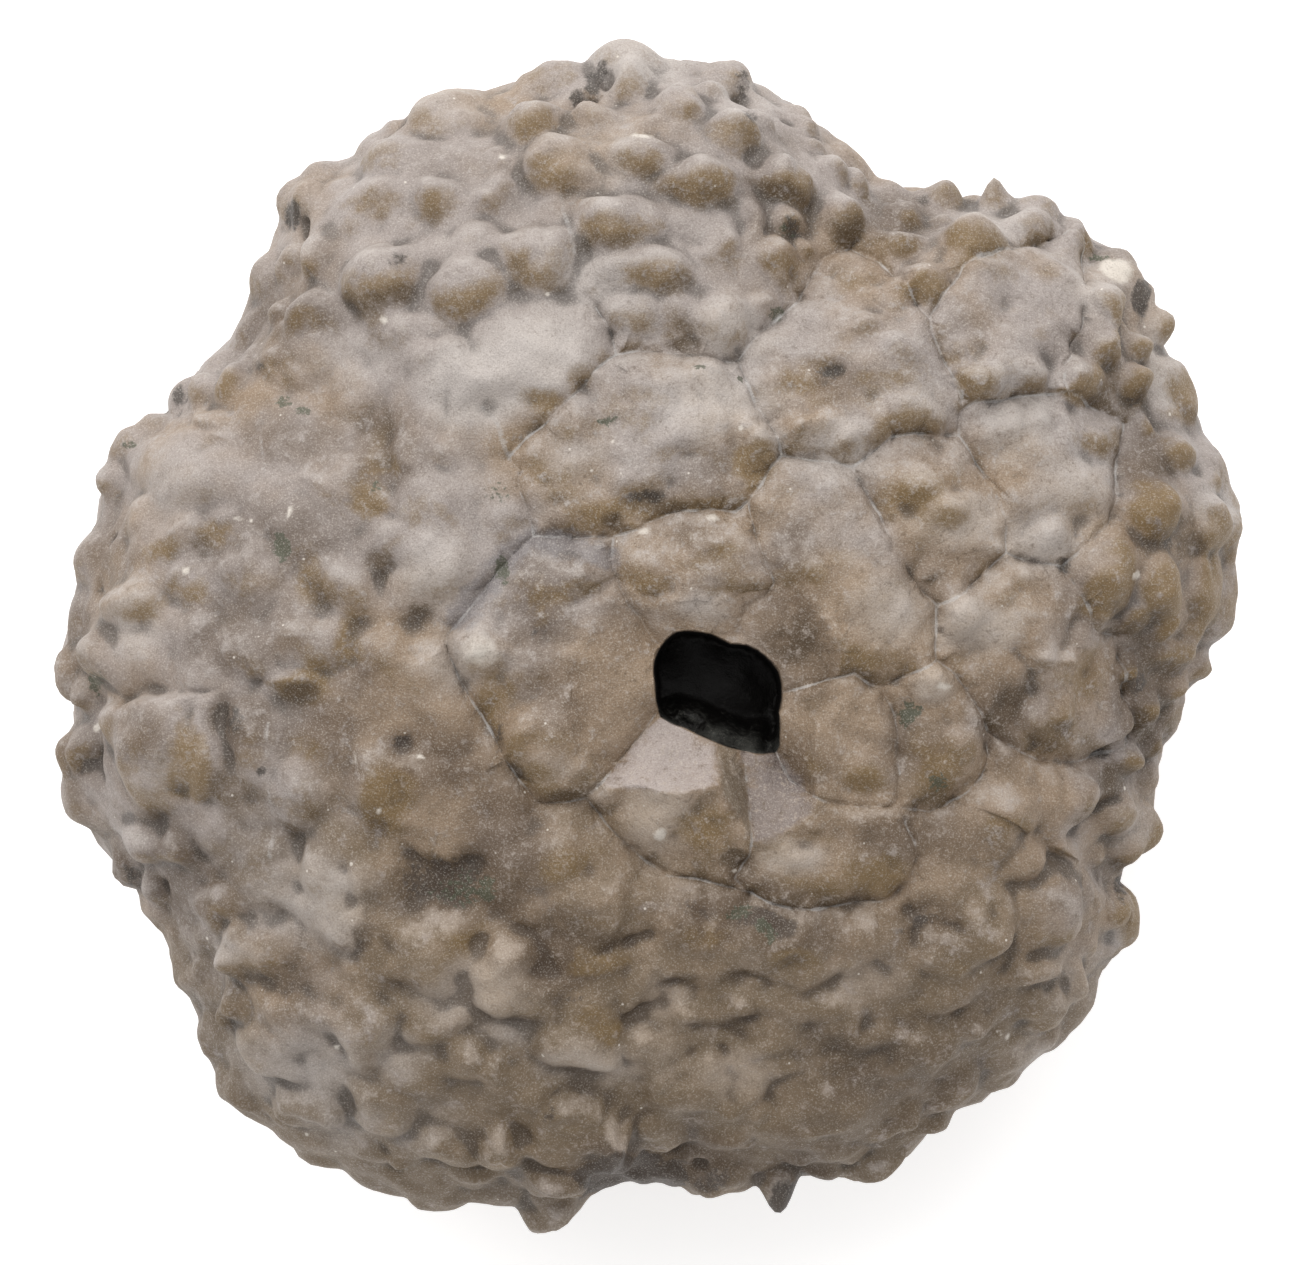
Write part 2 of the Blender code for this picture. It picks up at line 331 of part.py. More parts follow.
def body_points(directions):
    """Move the unit sphere's points onto the smooth body."""
    angle = np.arctan2(directions[:, 1], directions[:, 0])
    rim_level = 1.0 - 2.0 * UPPER_SHARE
    level = directions[:, 2] - rim_level
    upper = level >= 0.0
    climb = np.where(upper, level / (1.0 - rim_level), -level / (1.0 + rim_level))
    share = np.sqrt(1.0 - np.clip(climb, 0.0, 1.0) ** 1.5)
    lobes = outline_radius(angle)
    fade = 1.0 - (1.0 - LOBE_LEFT_BELOW) * smooth_step(climb / 0.8)
    radius = share * np.where(upper, lobes, CUP_RADIUS + (lobes - CUP_RADIUS) * fade)
    x = radius * np.cos(angle)
    y = radius * np.sin(angle)
    floor = cup_height(share) + STEM_HOLLOW * np.exp(-(radius / STEM_HOLLOW_RADIUS) ** 2)
    return np.stack((x, y, np.where(upper, dome_height(x, y), floor)), axis=1), upper


def line_distance(points, lines, height_at):
    """Distance in space from each point to the nearest of some lines laid on the body."""
    nearest = np.full(len(points), 1e3)
    for line in lines:
        plan = np.array(line)
        path = np.column_stack((plan, height_at(plan[:, 0], plan[:, 1])))
        for start, end in zip(path[:-1], path[1:]):
            run = end - start
            along = np.clip((points - start) @ run / (run @ run), 0.0, 1.0)
            gap = np.linalg.norm(points - start - along[:, None] * run, axis=1)
            nearest = np.minimum(nearest, gap)
    return nearest


def inside_loop(points, loop):
    """True where a point is inside a closed outline, seen from above."""
    inside = np.zeros(len(points), dtype=bool)
    for (x0, y0), (x1, y1) in zip(loop, np.roll(loop, -1, axis=0)):
        if y0 == y1:
            continue
        crosses = (y0 > points[:, 1]) != (y1 > points[:, 1])
        inside ^= crosses & (points[:, 0] < x0 + (points[:, 1] - y0) * (x1 - x0) / (y1 - y0))
    return inside


def closed(loop):
    return np.vstack((loop, loop[:1]))


def noise_field(points, spacing, seed=0.0):
    """Smooth noise from -1 to 1 at each point, with features about one spacing wide."""
    shift = Vector((seed, 2.3 * seed, -1.7 * seed))
    return np.array([noise.noise(Vector(point) / spacing + shift) for point in points])


def bend_places(points):
    """Shift the points by noise, so that no knob's foot is a perfect ellipse."""
    shift = np.array([noise.noise_vector(Vector(point) / BEND_SPACING) for point in points])
    return points + BEND * shift


def foot_below(x, y, rise):
    """Where a knob starts on the slope, so that its top ends over the place named."""
    radius = math.hypot(x, y)
    slope = (dome_height(x * 0.99, y * 0.99) - dome_height(x, y)) / max(0.01 * radius, 0.01)
    inward = 1.0 - 0.7 * rise * slope / math.sqrt(1.0 + slope ** 2) / max(radius, 1.0)
    return x * inward, y * inward


def mound(points, middle, half_sizes, exponent):
    """Rounded mound with an elliptical foot, 1 at its top."""
    reach = np.array((*half_sizes, max(half_sizes)))
    share = (((points - middle) / reach) ** 2).sum(axis=1)
    return np.clip(1.0 - share, 0.0, 1.0) ** exponent


def mounds(points, rows, exponent):
    """Mounds of some rows: where two meet, the higher one wins."""
    height = np.zeros(len(points))
    for x, y, half_x, half_y, rise in rows:
        foot = foot_below(x, y, rise)
        middle = np.array((*foot, float(dome_height(*foot))))
        height = np.maximum(height, rise * mound(points, middle, (half_x, half_y), exponent))
    return height


def rim_tips(points, tips, exponent):
    """Knobs whose tips make the outline: each rises from the outline to its tip."""
    height = np.zeros(len(points))
    for x, y, half in tips:
        gaps = np.hypot(OUTLINE[:, 0] - x, OUTLINE[:, 1] - y)
        foot = OUTLINE[gaps.argmin()]
        outside = math.hypot(x, y) > math.hypot(*foot)
        rise = gaps.min() * (1.0 if outside else -1.0) + RIM_INSET - PLATE_CROWN
        middle = np.array((*foot, RIM_TIP_HEIGHT))
        height = np.maximum(height, max(rise, 0.15) * mound(points, middle, (half, half), exponent))
    return height


def ridge_rise(points):
    height = np.zeros(len(points))
    for rise, half_width, line in RIDGES:
        gap = line_distance(points, (line,), dome_height)
        height += rise * np.clip(1.0 - gap / half_width, 0.0, 1.0)
    return height


def ledge_drop(points):
    """Steps in the stone: full just below the line, and less with the distance from it."""
    drop_field = np.zeros(len(points))
    for drop, reach, line in LEDGES:
        plan = np.array(line)
        path = np.column_stack((plan, dome_height(plan[:, 0], plan[:, 1])))
        lengths = np.linalg.norm(path[1:] - path[:-1], axis=1)
        nearest = np.full(len(points), 3.0 * reach)
        side = np.zeros(len(points))
        taper = np.zeros(len(points))
        travelled = 0.0
        for start, end, length in zip(path[:-1], path[1:], lengths):
            run = (end - start) / length
            offset = points - start
            along = np.clip(offset @ run, 0.0, length)
            gap = np.linalg.norm(offset - along[:, None] * run, axis=1)
            better = gap < nearest
            nearest[better] = gap[better]
            turn = offset[better, 1] * run[0] - offset[better, 0] * run[1]
            side[better] = smooth_step(0.5 - turn / 0.4)
            covered = travelled + along[better]
            taper[better] = smooth_step(np.minimum(covered, lengths.sum() - covered) / 0.5)
            travelled += length
        drop_field += drop * side * taper * np.exp(-nearest / reach)
    return drop_field


def dome_relief(points, upper):
    """Everything raised or sunk on the upper side, apart from the opening's shaft."""
    seam = line_distance(points, SUTURES, dome_height)
    relief = PLATE_CROWN * (1.0 - np.exp(-seam / PLATE_SHOULDER))
    relief -= SUTURE_DEPTH * np.exp(-(seam / SUTURE_WIDTH) ** 2)
    places = bend_places(points)
    knobs = mounds(places, NORTH_KNOBS + EAST_KNOBS + SOUTH_KNOBS + WEST_KNOBS, KNOB_EXPONENT)
    knobs = np.maximum(knobs, rim_tips(places, RIM_TIPS, RIM_TIP_EXPONENT))
    knobs = np.maximum(knobs, rim_tips(points, SPINE_TIPS, SPINE_EXPONENT))
    relief += knobs - mounds(places, PITS, PIT_EXPONENT)
    relief += ridge_rise(places) - ledge_drop(places)
    lumps = LUMPS * np.abs(noise_field(places, LUMP_SPACING, 3.0))
    plated = inside_loop(points, PLATED) & upper
    relief += lumps * np.where(plated, LUMPS_ON_PLATES, 1.0)
    return relief


def rim_band(points, upper):
    """1 on the rim, and less up the dome and down the cup."""
    radius = np.hypot(points[:, 0], points[:, 1])
    share = radius / outline_radius(np.arctan2(points[:, 1], points[:, 0]))
    below = smooth_step((points[:, 2] - RIM_HEIGHT) / 2.5 + 1.0)
    return np.where(upper, smooth_step((share - 0.86) / 0.12), below)


def opening_shape(points, upper):
    """How far down the funnel a point is, and how far down the wall of the shaft, 0 to 1."""
    edge = smooth_loop(OPENING, 4)
    to_edge = line_distance(points, (closed(edge),), dome_height)
    to_crest = line_distance(points, (closed(np.array(CREST)),), dome_height)
    in_opening = inside_loop(points, edge) & upper
    in_funnel = inside_loop(points, CREST) & upper
    funnel = np.where(in_funnel & ~in_opening, to_crest / (to_crest + to_edge), 0.0)
    funnel[in_opening] = 1.0
    return funnel, np.where(in_opening, smooth_step(to_edge / OPENING_WALL), 0.0)


def cup_plate_sites():
    """Centres of the cup's plates, ring by ring."""
    sites = []
    for count, radius, first in CUP_RINGS:
        for step in range(count):
            angle = math.radians(first + 360.0 * step / count)
            height = float(cup_height(min(radius / CUP_RADIUS, 1.0)))
            sites.append((radius * math.cos(angle), radius * math.sin(angle), height))
    return np.array(sites)


def cup_relief(points):
    """Plates with a node each, five feet, and the stem scar with its canal."""
    gaps = np.linalg.norm(points[:, None, :] - cup_plate_sites()[None, :, :], axis=2)
    gaps.sort(axis=1)
    seam = (gaps[:, 1] - gaps[:, 0]) / 2.0
    relief = PLATE_CROWN * (1.0 - np.exp(-seam / PLATE_SHOULDER))
    relief -= SUTURE_DEPTH * np.exp(-(seam / SUTURE_WIDTH) ** 2)
    relief += CUP_NODE_RISE * np.clip(1.0 - (gaps[:, 0] / CUP_NODE_SIZE) ** 2, 0.0, 1.0)
    radius = np.hypot(points[:, 0], points[:, 1])
    relief *= smooth_step((radius - STEM_SCAR_RADIUS) / 0.8)
    for azimuth in RAY_AZIMUTHS:
        angle = math.radians(azimuth)
        foot = np.array((FOOT_RADIUS * math.cos(angle), FOOT_RADIUS * math.sin(angle)))
        away = np.linalg.norm(points[:, :2] - foot, axis=1) / FOOT_SIZE
        relief += FOOT_RISE * np.clip(1.0 - away ** 2, 0.0, 1.0)
    relief += 0.35 * np.exp(-((radius - STEM_SCAR_RADIUS) / 0.35) ** 2)
    relief -= LUMEN_DEPTH * np.clip(1.0 - (radius / LUMEN_RADIUS) ** 2, 0.0, 1.0)
    return relief


def weathering(points):
    """Unevenness of the old stone: soft swells and a finer roughness."""
    return 0.26 * noise_field(points, 2.6) + 0.10 * noise_field(points, 1.2)


def thin(mesh_object, faces):
    """Collapse the least telling edges until about this many triangles are left."""
    modifier = mesh_object.modifiers.new("thin", 'DECIMATE')
    modifier.decimate_type = 'COLLAPSE'
    modifier.ratio = faces / len(mesh_object.data.polygons)
    graph = bpy.context.evaluated_depsgraph_get()
    thinned = bpy.data.meshes.new_from_object(mesh_object.evaluated_get(graph))
    mesh_object.modifiers.clear()
    mesh_object.data = thinned


def wear_feet_flat(mesh):
    """Cut off what reaches below the resting surface and close each foot with a flat face."""
    bm = bmesh.new()
    bm.from_mesh(mesh)
    everything = bm.verts[:] + bm.edges[:] + bm.faces[:]
    bmesh.ops.bisect_plane(bm, geom=everything, dist=1e-6, plane_co=(0, 0, 0),
                           plane_no=(0, 0, 1), clear_inner=True)
    rims = [edge for edge in bm.edges if edge.is_boundary]
    bmesh.ops.holes_fill(bm, edges=rims, sides=0)
    bmesh.ops.triangulate(bm, faces=bm.faces[:])
    bmesh.ops.recalc_face_normals(bm, faces=bm.faces[:])
    bm.to_mesh(mesh)
    bm.free()


def stone_material():
    stone = bpy.data.materials.new("fossil_stone")
    stone.use_nodes = True
    shader = stone.node_tree.nodes["Principled BSDF"]
    shader.inputs["Base Color"].default_value = STONE_COLOUR
    shader.inputs["Roughness"].default_value = STONE_ROUGHNESS
    shader.inputs["Metallic"].default_value = 0.0
    stone.diffuse_color = STONE_COLOUR
    return stone


def build_calyx():
    bm = bmesh.new()
    bmesh.ops.create_icosphere(bm, subdivisions=START_SUBDIVISIONS, radius=1.0)
    directions = np.array([vertex.co.normalized() for vertex in bm.verts])
    points, upper = body_points(directions)
    for vertex, point in zip(bm.verts, points):
        vertex.co = point
    bm.normal_update()
    normals = np.array([vertex.normal for vertex in bm.verts])
    rise = np.where(upper, 1.0, smooth_step((points[:, 2] - RIM_HEIGHT) / 2.0 + 1.0))
    funnel, shaft = opening_shape(points, upper)
    upper_side = dome_relief(points, upper) - FUNNEL_DEPTH * funnel
    upper_side -= RIM_INSET * rim_band(points, upper)
    relief = rise * upper_side + (1.0 - rise) * cup_relief(points) + weathering(points)
    surface = points + normals * relief[:, None]
    surface[:, 2] -= OPENING_DEPTH * shaft
    for vertex, point in zip(bm.verts, surface * MM):
        vertex.co = point
    for _ in range(SMOOTHING_ROUNDS):
        bmesh.ops.smooth_vert(bm, verts=bm.verts, factor=0.5, use_axis_x=True, use_axis_y=True,
                              use_axis_z=True)
    mesh = bpy.data.meshes.new("calyx")
    bm.to_mesh(mesh)
    bm.free()
    calyx = bpy.data.objects.new("calyx", mesh)
    bpy.context.collection.objects.link(calyx)
    thin(calyx, FACES_KEPT)
    wear_feet_flat(calyx.data)
    calyx.data.materials.clear()
    calyx.data.materials.append(stone_material())
    calyx.data.shade_smooth()
    return calyx


def main():
    for old in list(bpy.data.objects):
        bpy.data.objects.remove(old, do_unlink=True)
    noise.seed_set(BEND_SEED)
    calyx = build_calyx()
    print(calyx.name, "faces:", len(calyx.data.polygons), "size mm:",
          [round(side / MM, 2) for side in calyx.dimensions])


main()
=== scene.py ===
# %% [markdown]
# # A fossil crinoid calyx
# A crinoid, or sea lily, is an animal on a stalk. What is left of this one is its calyx: a case
# of fused stone plates, domed above, with one small opening near the top, and shaped like a cup
# below. The solid model gives its size and main form. This lesson makes the surface that the
# eye reads, at ten times the detail, and then its stone.

# %% Load the solid model
import math

import bmesh
import bpy
import numpy as np
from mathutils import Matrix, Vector, noise


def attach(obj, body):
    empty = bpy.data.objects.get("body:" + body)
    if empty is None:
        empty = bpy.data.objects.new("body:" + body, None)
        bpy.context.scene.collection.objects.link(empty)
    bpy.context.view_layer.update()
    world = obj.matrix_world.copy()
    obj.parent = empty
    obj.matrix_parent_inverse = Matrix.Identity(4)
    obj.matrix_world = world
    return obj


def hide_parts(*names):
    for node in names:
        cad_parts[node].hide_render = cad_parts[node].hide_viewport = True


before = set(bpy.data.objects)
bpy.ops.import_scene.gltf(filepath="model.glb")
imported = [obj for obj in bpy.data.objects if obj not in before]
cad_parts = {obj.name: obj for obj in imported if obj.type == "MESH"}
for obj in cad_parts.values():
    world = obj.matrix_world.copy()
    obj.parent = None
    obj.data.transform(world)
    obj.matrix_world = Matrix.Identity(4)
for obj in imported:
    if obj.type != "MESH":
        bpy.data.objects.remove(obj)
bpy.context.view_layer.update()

MM = 0.001                  # metres in a millimetre


# %% [markdown]
# ## The stage
# The specimen lies on a pale table and is seen from straight above, as specimens are
# catalogued. A long lens from 0.6 m keeps the dome from swelling towards the viewer, as it
# would from close by. The light is one large soft window beyond the upper edge, so every knob
# has a light upper side and a darker lower one, and a weak even light fills the rest.

# %% Camera, floor and light
RIM_HEIGHT = 9.0            # mm, the widest level of the calyx
VIEW_WIDTH = 38.85          # mm of the rim plane across the picture
VIEW_DISTANCE = 600.0       # mm
VIEW_CENTRE = (0.015, 0.045)    # mm, the middle of the picture
SENSOR = 36.0               # mm
EVEN_LIGHT = 0.72
EVEN_COLOUR = (0.98, 0.975, 0.98, 1.0)

camera_data = bpy.data.cameras.new("view_from_above")
camera_data.sensor_width = SENSOR
camera_data.lens = SENSOR * VIEW_DISTANCE / VIEW_WIDTH
camera_data.clip_start = 0.01
camera = bpy.data.objects.new("view_from_above", camera_data)
camera.location = [side * MM for side in (*VIEW_CENTRE, RIM_HEIGHT + VIEW_DISTANCE)]
bpy.context.collection.objects.link(camera)
bpy.context.scene.camera = camera
bpy.context.scene.view_settings.view_transform = "Standard"


def soft_window(name, place, size, power, colour):
    """Square area light, its place and size in mm, that faces the specimen."""
    light = bpy.data.lights.new(name, "AREA")
    light.size = size * MM
    light.energy = power
    light.color = colour
    lamp = bpy.data.objects.new(name, light)
    lamp.location = Vector(place) * MM
    lamp.rotation_euler = (-lamp.location).to_track_quat("-Z", "Y").to_euler()
    bpy.context.collection.objects.link(lamp)
    return lamp


window = soft_window("window", place=(-130, 470, 430), size=1000, power=6.6,
                     colour=(1.0, 0.985, 0.965))
world = bpy.data.worlds.new("even_light")
world.use_nodes = True
background = world.node_tree.nodes["Background"]
background.inputs["Color"].default_value = EVEN_COLOUR
background.inputs["Strength"].default_value = EVEN_LIGHT
bpy.context.scene.world = world
print("camera lens:", round(camera_data.lens), "mm")
print("window:", round(window.location.length, 2), "m away")

# %% [markdown]
# ## Shader expressions
# A material is a graph of nodes. Wrapping a socket in a small class lets the graph be written
# as arithmetic, and one method makes every other kind of node.


# %% A socket that can be added, multiplied and mixed
COLOUR_A, COLOUR_B, COLOUR_RESULT = 6, 7, 2     # a Mix node's sockets for colours


def plug(tree, target, value):
    """Link a Signal to a socket, or set the socket to a plain value."""
    if isinstance(value, Signal):
        tree.links.new(value.socket, target)
    else:
        target.default_value = value


class Signal:
    """One output socket of a material, with arithmetic."""

    def __init__(self, tree, socket):
        self.tree = tree
        self.socket = socket

    def node(self, kind, settings=None, output=0, **inputs):
        """Add a node: its settings first, then its sockets, From_Min for From Min."""
        made = self.tree.nodes.new(kind)
        for key, value in (settings or {}).items():
            setattr(made, key, value)
        for key, value in inputs.items():
            plug(self.tree, made.inputs[key.replace("_", " ")], value)
        return Signal(self.tree, made.outputs[output])

    def math(self, operation, first, second=0.0):
        made = self.tree.nodes.new("ShaderNodeMath")
        made.operation = operation
        plug(self.tree, made.inputs[0], first)
        plug(self.tree, made.inputs[1], second)
        return Signal(self.tree, made.outputs[0])

    def __add__(self, other):
        return self.math("ADD", self, other)

    def __radd__(self, other):
        return self.math("ADD", other, self)

    def __sub__(self, other):
        return self.math("SUBTRACT", self, other)

    def __rsub__(self, other):
        return self.math("SUBTRACT", other, self)

    def __mul__(self, other):
        return self.math("MULTIPLY", self, other)

    def __rmul__(self, other):
        return self.math("MULTIPLY", other, self)

    def band(self, low, high):
        """0 below low, 1 above high and a smooth step between."""
        return self.node("ShaderNodeMapRange", {"interpolation_type": "SMOOTHSTEP"},
                         Value=self, From_Min=low, From_Max=high)

    def over(self, under, colour):
        """Lay a colour over another, by this signal as the mask."""
        made = self.tree.nodes.new("ShaderNodeMix")
        made.data_type = "RGBA"
        made.clamp_factor = True
        plug(self.tree, made.inputs["Factor"], self)
        plug(self.tree, made.inputs[COLOUR_A], under)
        plug(self.tree, made.inputs[COLOUR_B], colour)
        return Signal(self.tree, made.outputs[COLOUR_RESULT])


def new_material(name):
    """An empty material, its shader node, and a Signal of the Object coordinates."""
    made = bpy.data.materials.new(name)
    made.use_nodes = True
    tree = made.node_tree
    shader = tree.nodes["Principled BSDF"]
    place = Signal(tree, tree.nodes.new("ShaderNodeTexCoord").outputs["Object"])
    return made, shader, place


def srgb(red, green, blue):
    """A colour as a painter names it, from 0 to 255, as the linear values Blender takes."""
    channels = [channel / 255.0 for channel in (red, green, blue)]
    linear = [c / 12.92 if c <= 0.04045 else ((c + 0.055) / 1.055) ** 2.4 for c in channels]
    return (*linear, 1.0)


print("paper white is", [round(value, 2) for value in srgb(240, 240, 240)])

# %% The pale table
TABLE_REACH = 0.7           # m from the middle to a side
PAPER = (0.90, 0.90, 0.90, 1.0)
PAPER_GLOW = 0.45           # keeps the paper near white in the shade

floor_mesh = bpy.data.meshes.new("table_top")
bm = bmesh.new()
bmesh.ops.create_grid(bm, x_segments=1, y_segments=1, size=TABLE_REACH)
bm.to_mesh(floor_mesh)
bm.free()
table_top = bpy.data.objects.new("table_top", floor_mesh)
bpy.context.collection.objects.link(table_top)
paper, paper_shader, _ = new_material("white_paper")
paper_shader.inputs["Base Color"].default_value = PAPER
paper_shader.inputs["Roughness"].default_value = 0.9
paper_shader.inputs["Emission Color"].default_value = (1.0, 1.0, 1.0, 1.0)
paper_shader.inputs["Emission Strength"].default_value = PAPER_GLOW
floor_mesh.materials.append(paper)
print("table top:", 2 * TABLE_REACH, "m wide")

# %% [markdown]
# ## The smooth body
# Under all its knobs the calyx is a simple form: a dome and a cup that meet at a rim with five
# lobes. The outline of the rim is drawn as listed points, and a Catmull-Rom curve rounds it. A fine
# icosphere is then pressed into that form, with more of its points on the dome, where the
# detail is.

# %% Outline of the rim
BODY_OUTLINE = (
    (-8.0, 14.8), (-6.0, 15.8), (-3.2, 16.4), (-0.6, 17.0), (2.4, 16.7), (4.6, 15.3), (6.6, 13.8),
    (8.2, 13.1), (10.0, 12.8), (11.8, 12.8), (13.4, 11.8), (14.6, 10.8), (14.9, 9.5), (15.4, 8.0),
    (16.5, 5.9), (17.3, 3.9), (17.4, 2.2), (17.0, 0.3), (16.3, -0.9), (15.7, -2.8), (15.0, -4.3),
    (14.8, -5.9), (14.0, -7.5), (14.3, -8.6), (13.5, -10.0), (12.9, -11.4), (11.4, -12.8),
    (9.3, -14.2), (7.1, -15.8), (4.9, -16.1), (2.2, -16.2), (0.0, -16.2), (-1.6, -16.5),
    (-3.1, -17.2), (-5.0, -16.8), (-7.5, -16.5), (-9.8, -15.6), (-12.0, -14.2), (-13.1, -12.3),
    (-13.7, -10.5), (-14.7, -8.4), (-15.8, -7.0), (-17.0, -5.3), (-17.3, -3.7), (-17.0, -2.2),
    (-17.5, -0.9), (-17.1, 1.0), (-16.7, 2.7), (-16.0, 4.3), (-15.7, 5.6), (-14.5, 6.4),
    (-13.6, 7.6), (-12.4, 8.7), (-11.6, 10.4), (-10.9, 12.0), (-10.5, 13.3), (-9.2, 14.0),
)


def smooth_loop(points, steps=8):
    """Catmull-Rom curve through a closed list of points."""
    ring = np.array(points)
    before, after, next_after = (np.roll(ring, shift, axis=0) for shift in (1, -1, -2))
    pieces = []
    for t in np.arange(steps) / steps:
        pieces.append(0.5 * (2 * ring + (after - before) * t
                             + (2 * before - 5 * ring + 4 * after - next_after) * t ** 2
                             + (3 * ring - before - 3 * after + next_after) * t ** 3))
    return np.stack(pieces, axis=1).reshape(-1, 2)


outline = smooth_loop(BODY_OUTLINE)
outline_angles = np.arctan2(outline[:, 1], outline[:, 0])
outline_radii = np.hypot(outline[:, 0], outline[:, 1])


def outline_radius(angle):
    return np.interp(angle, outline_angles, outline_radii, period=2 * math.pi)


print("rim radius:", round(outline_radii.min(), 1), "to", round(outline_radii.max(), 1), "mm")

# %% Dome and cup
DOME_RISE = 8.2             # mm above the rim
DOME_EXPONENT = 0.58        # below 1 makes the dome full at its rim
CUP_DROP = 8.6              # mm below the rim
CUP_SQUARENESS = 2.4        # above 2 flattens the cup's floor
CUP_EXPONENT = 0.58
CUP_RADIUS = 16.2           # mm, the round outline that the lobes fade into, down the cup
LOBE_LEFT_BELOW = 0.35      # share of the lobes that is left at the cup's floor
LOBE_FADE = 0.8             # share of the way down at which they have faded
STEM_HOLLOW = 1.3           # mm that the cup's floor rises round the stem scar
STEM_HOLLOW_RADIUS = 3.4
UPPER_SHARE = 0.42          # share of the points that the dome gets
TOP_CROWDING = 1.5          # above 1 spreads the points away from the two poles


def smooth_step(value):
    t = np.clip(value, 0.0, 1.0)
    return t * t * (3.0 - 2.0 * t)


def dome_height(x, y):
    """Height of the smooth dome over a point seen from above."""
    share = np.minimum(np.hypot(x, y) / outline_radius(np.arctan2(y, x)), 1.0)
    return RIM_HEIGHT + DOME_RISE * (1.0 - share ** 2) ** DOME_EXPONENT


def cup_height(share):
    """Height of the smooth cup at a share of its radius."""
    return RIM_HEIGHT - CUP_DROP * (1.0 - share ** CUP_SQUARENESS) ** CUP_EXPONENT


def body_points(directions):
    """Move the unit sphere's points onto the smooth body."""
    angle = np.arctan2(directions[:, 1], directions[:, 0])
    rim_level = 1.0 - 2.0 * UPPER_SHARE
    level = directions[:, 2] - rim_level
    upper = level >= 0.0
    climb = np.where(upper, level / (1.0 - rim_level), -level / (1.0 + rim_level))
    share = np.sqrt(1.0 - np.clip(climb, 0.0, 1.0) ** TOP_CROWDING)
    lobes = outline_radius(angle)
    fade = 1.0 - (1.0 - LOBE_LEFT_BELOW) * smooth_step(climb / LOBE_FADE)
    radius = share * np.where(upper, lobes, CUP_RADIUS + (lobes - CUP_RADIUS) * fade)
    x = radius * np.cos(angle)
    y = radius * np.sin(angle)
    floor = cup_height(share) + STEM_HOLLOW * np.exp(-(radius / STEM_HOLLOW_RADIUS) ** 2)
    return np.stack((x, y, np.where(upper, dome_height(x, y), floor)), axis=1), upper


calyx_bm = bmesh.new()
bmesh.ops.create_icosphere(calyx_bm, subdivisions=6, radius=1.0)
directions = np.array([vertex.co.normalized() for vertex in calyx_bm.verts])
body, upper = body_points(directions)
print("body points:", len(body), "of which on the dome", int(upper.sum()))

# %% [markdown]
# ## Seams between the plates
# In life the plates met edge to edge. Where the stone is clean their seams still show as fine
# straight lines, and each plate is a little cushion between its seams. Lines are drawn as
# seen from above and laid on the dome, and the distance to the nearest one shapes both.

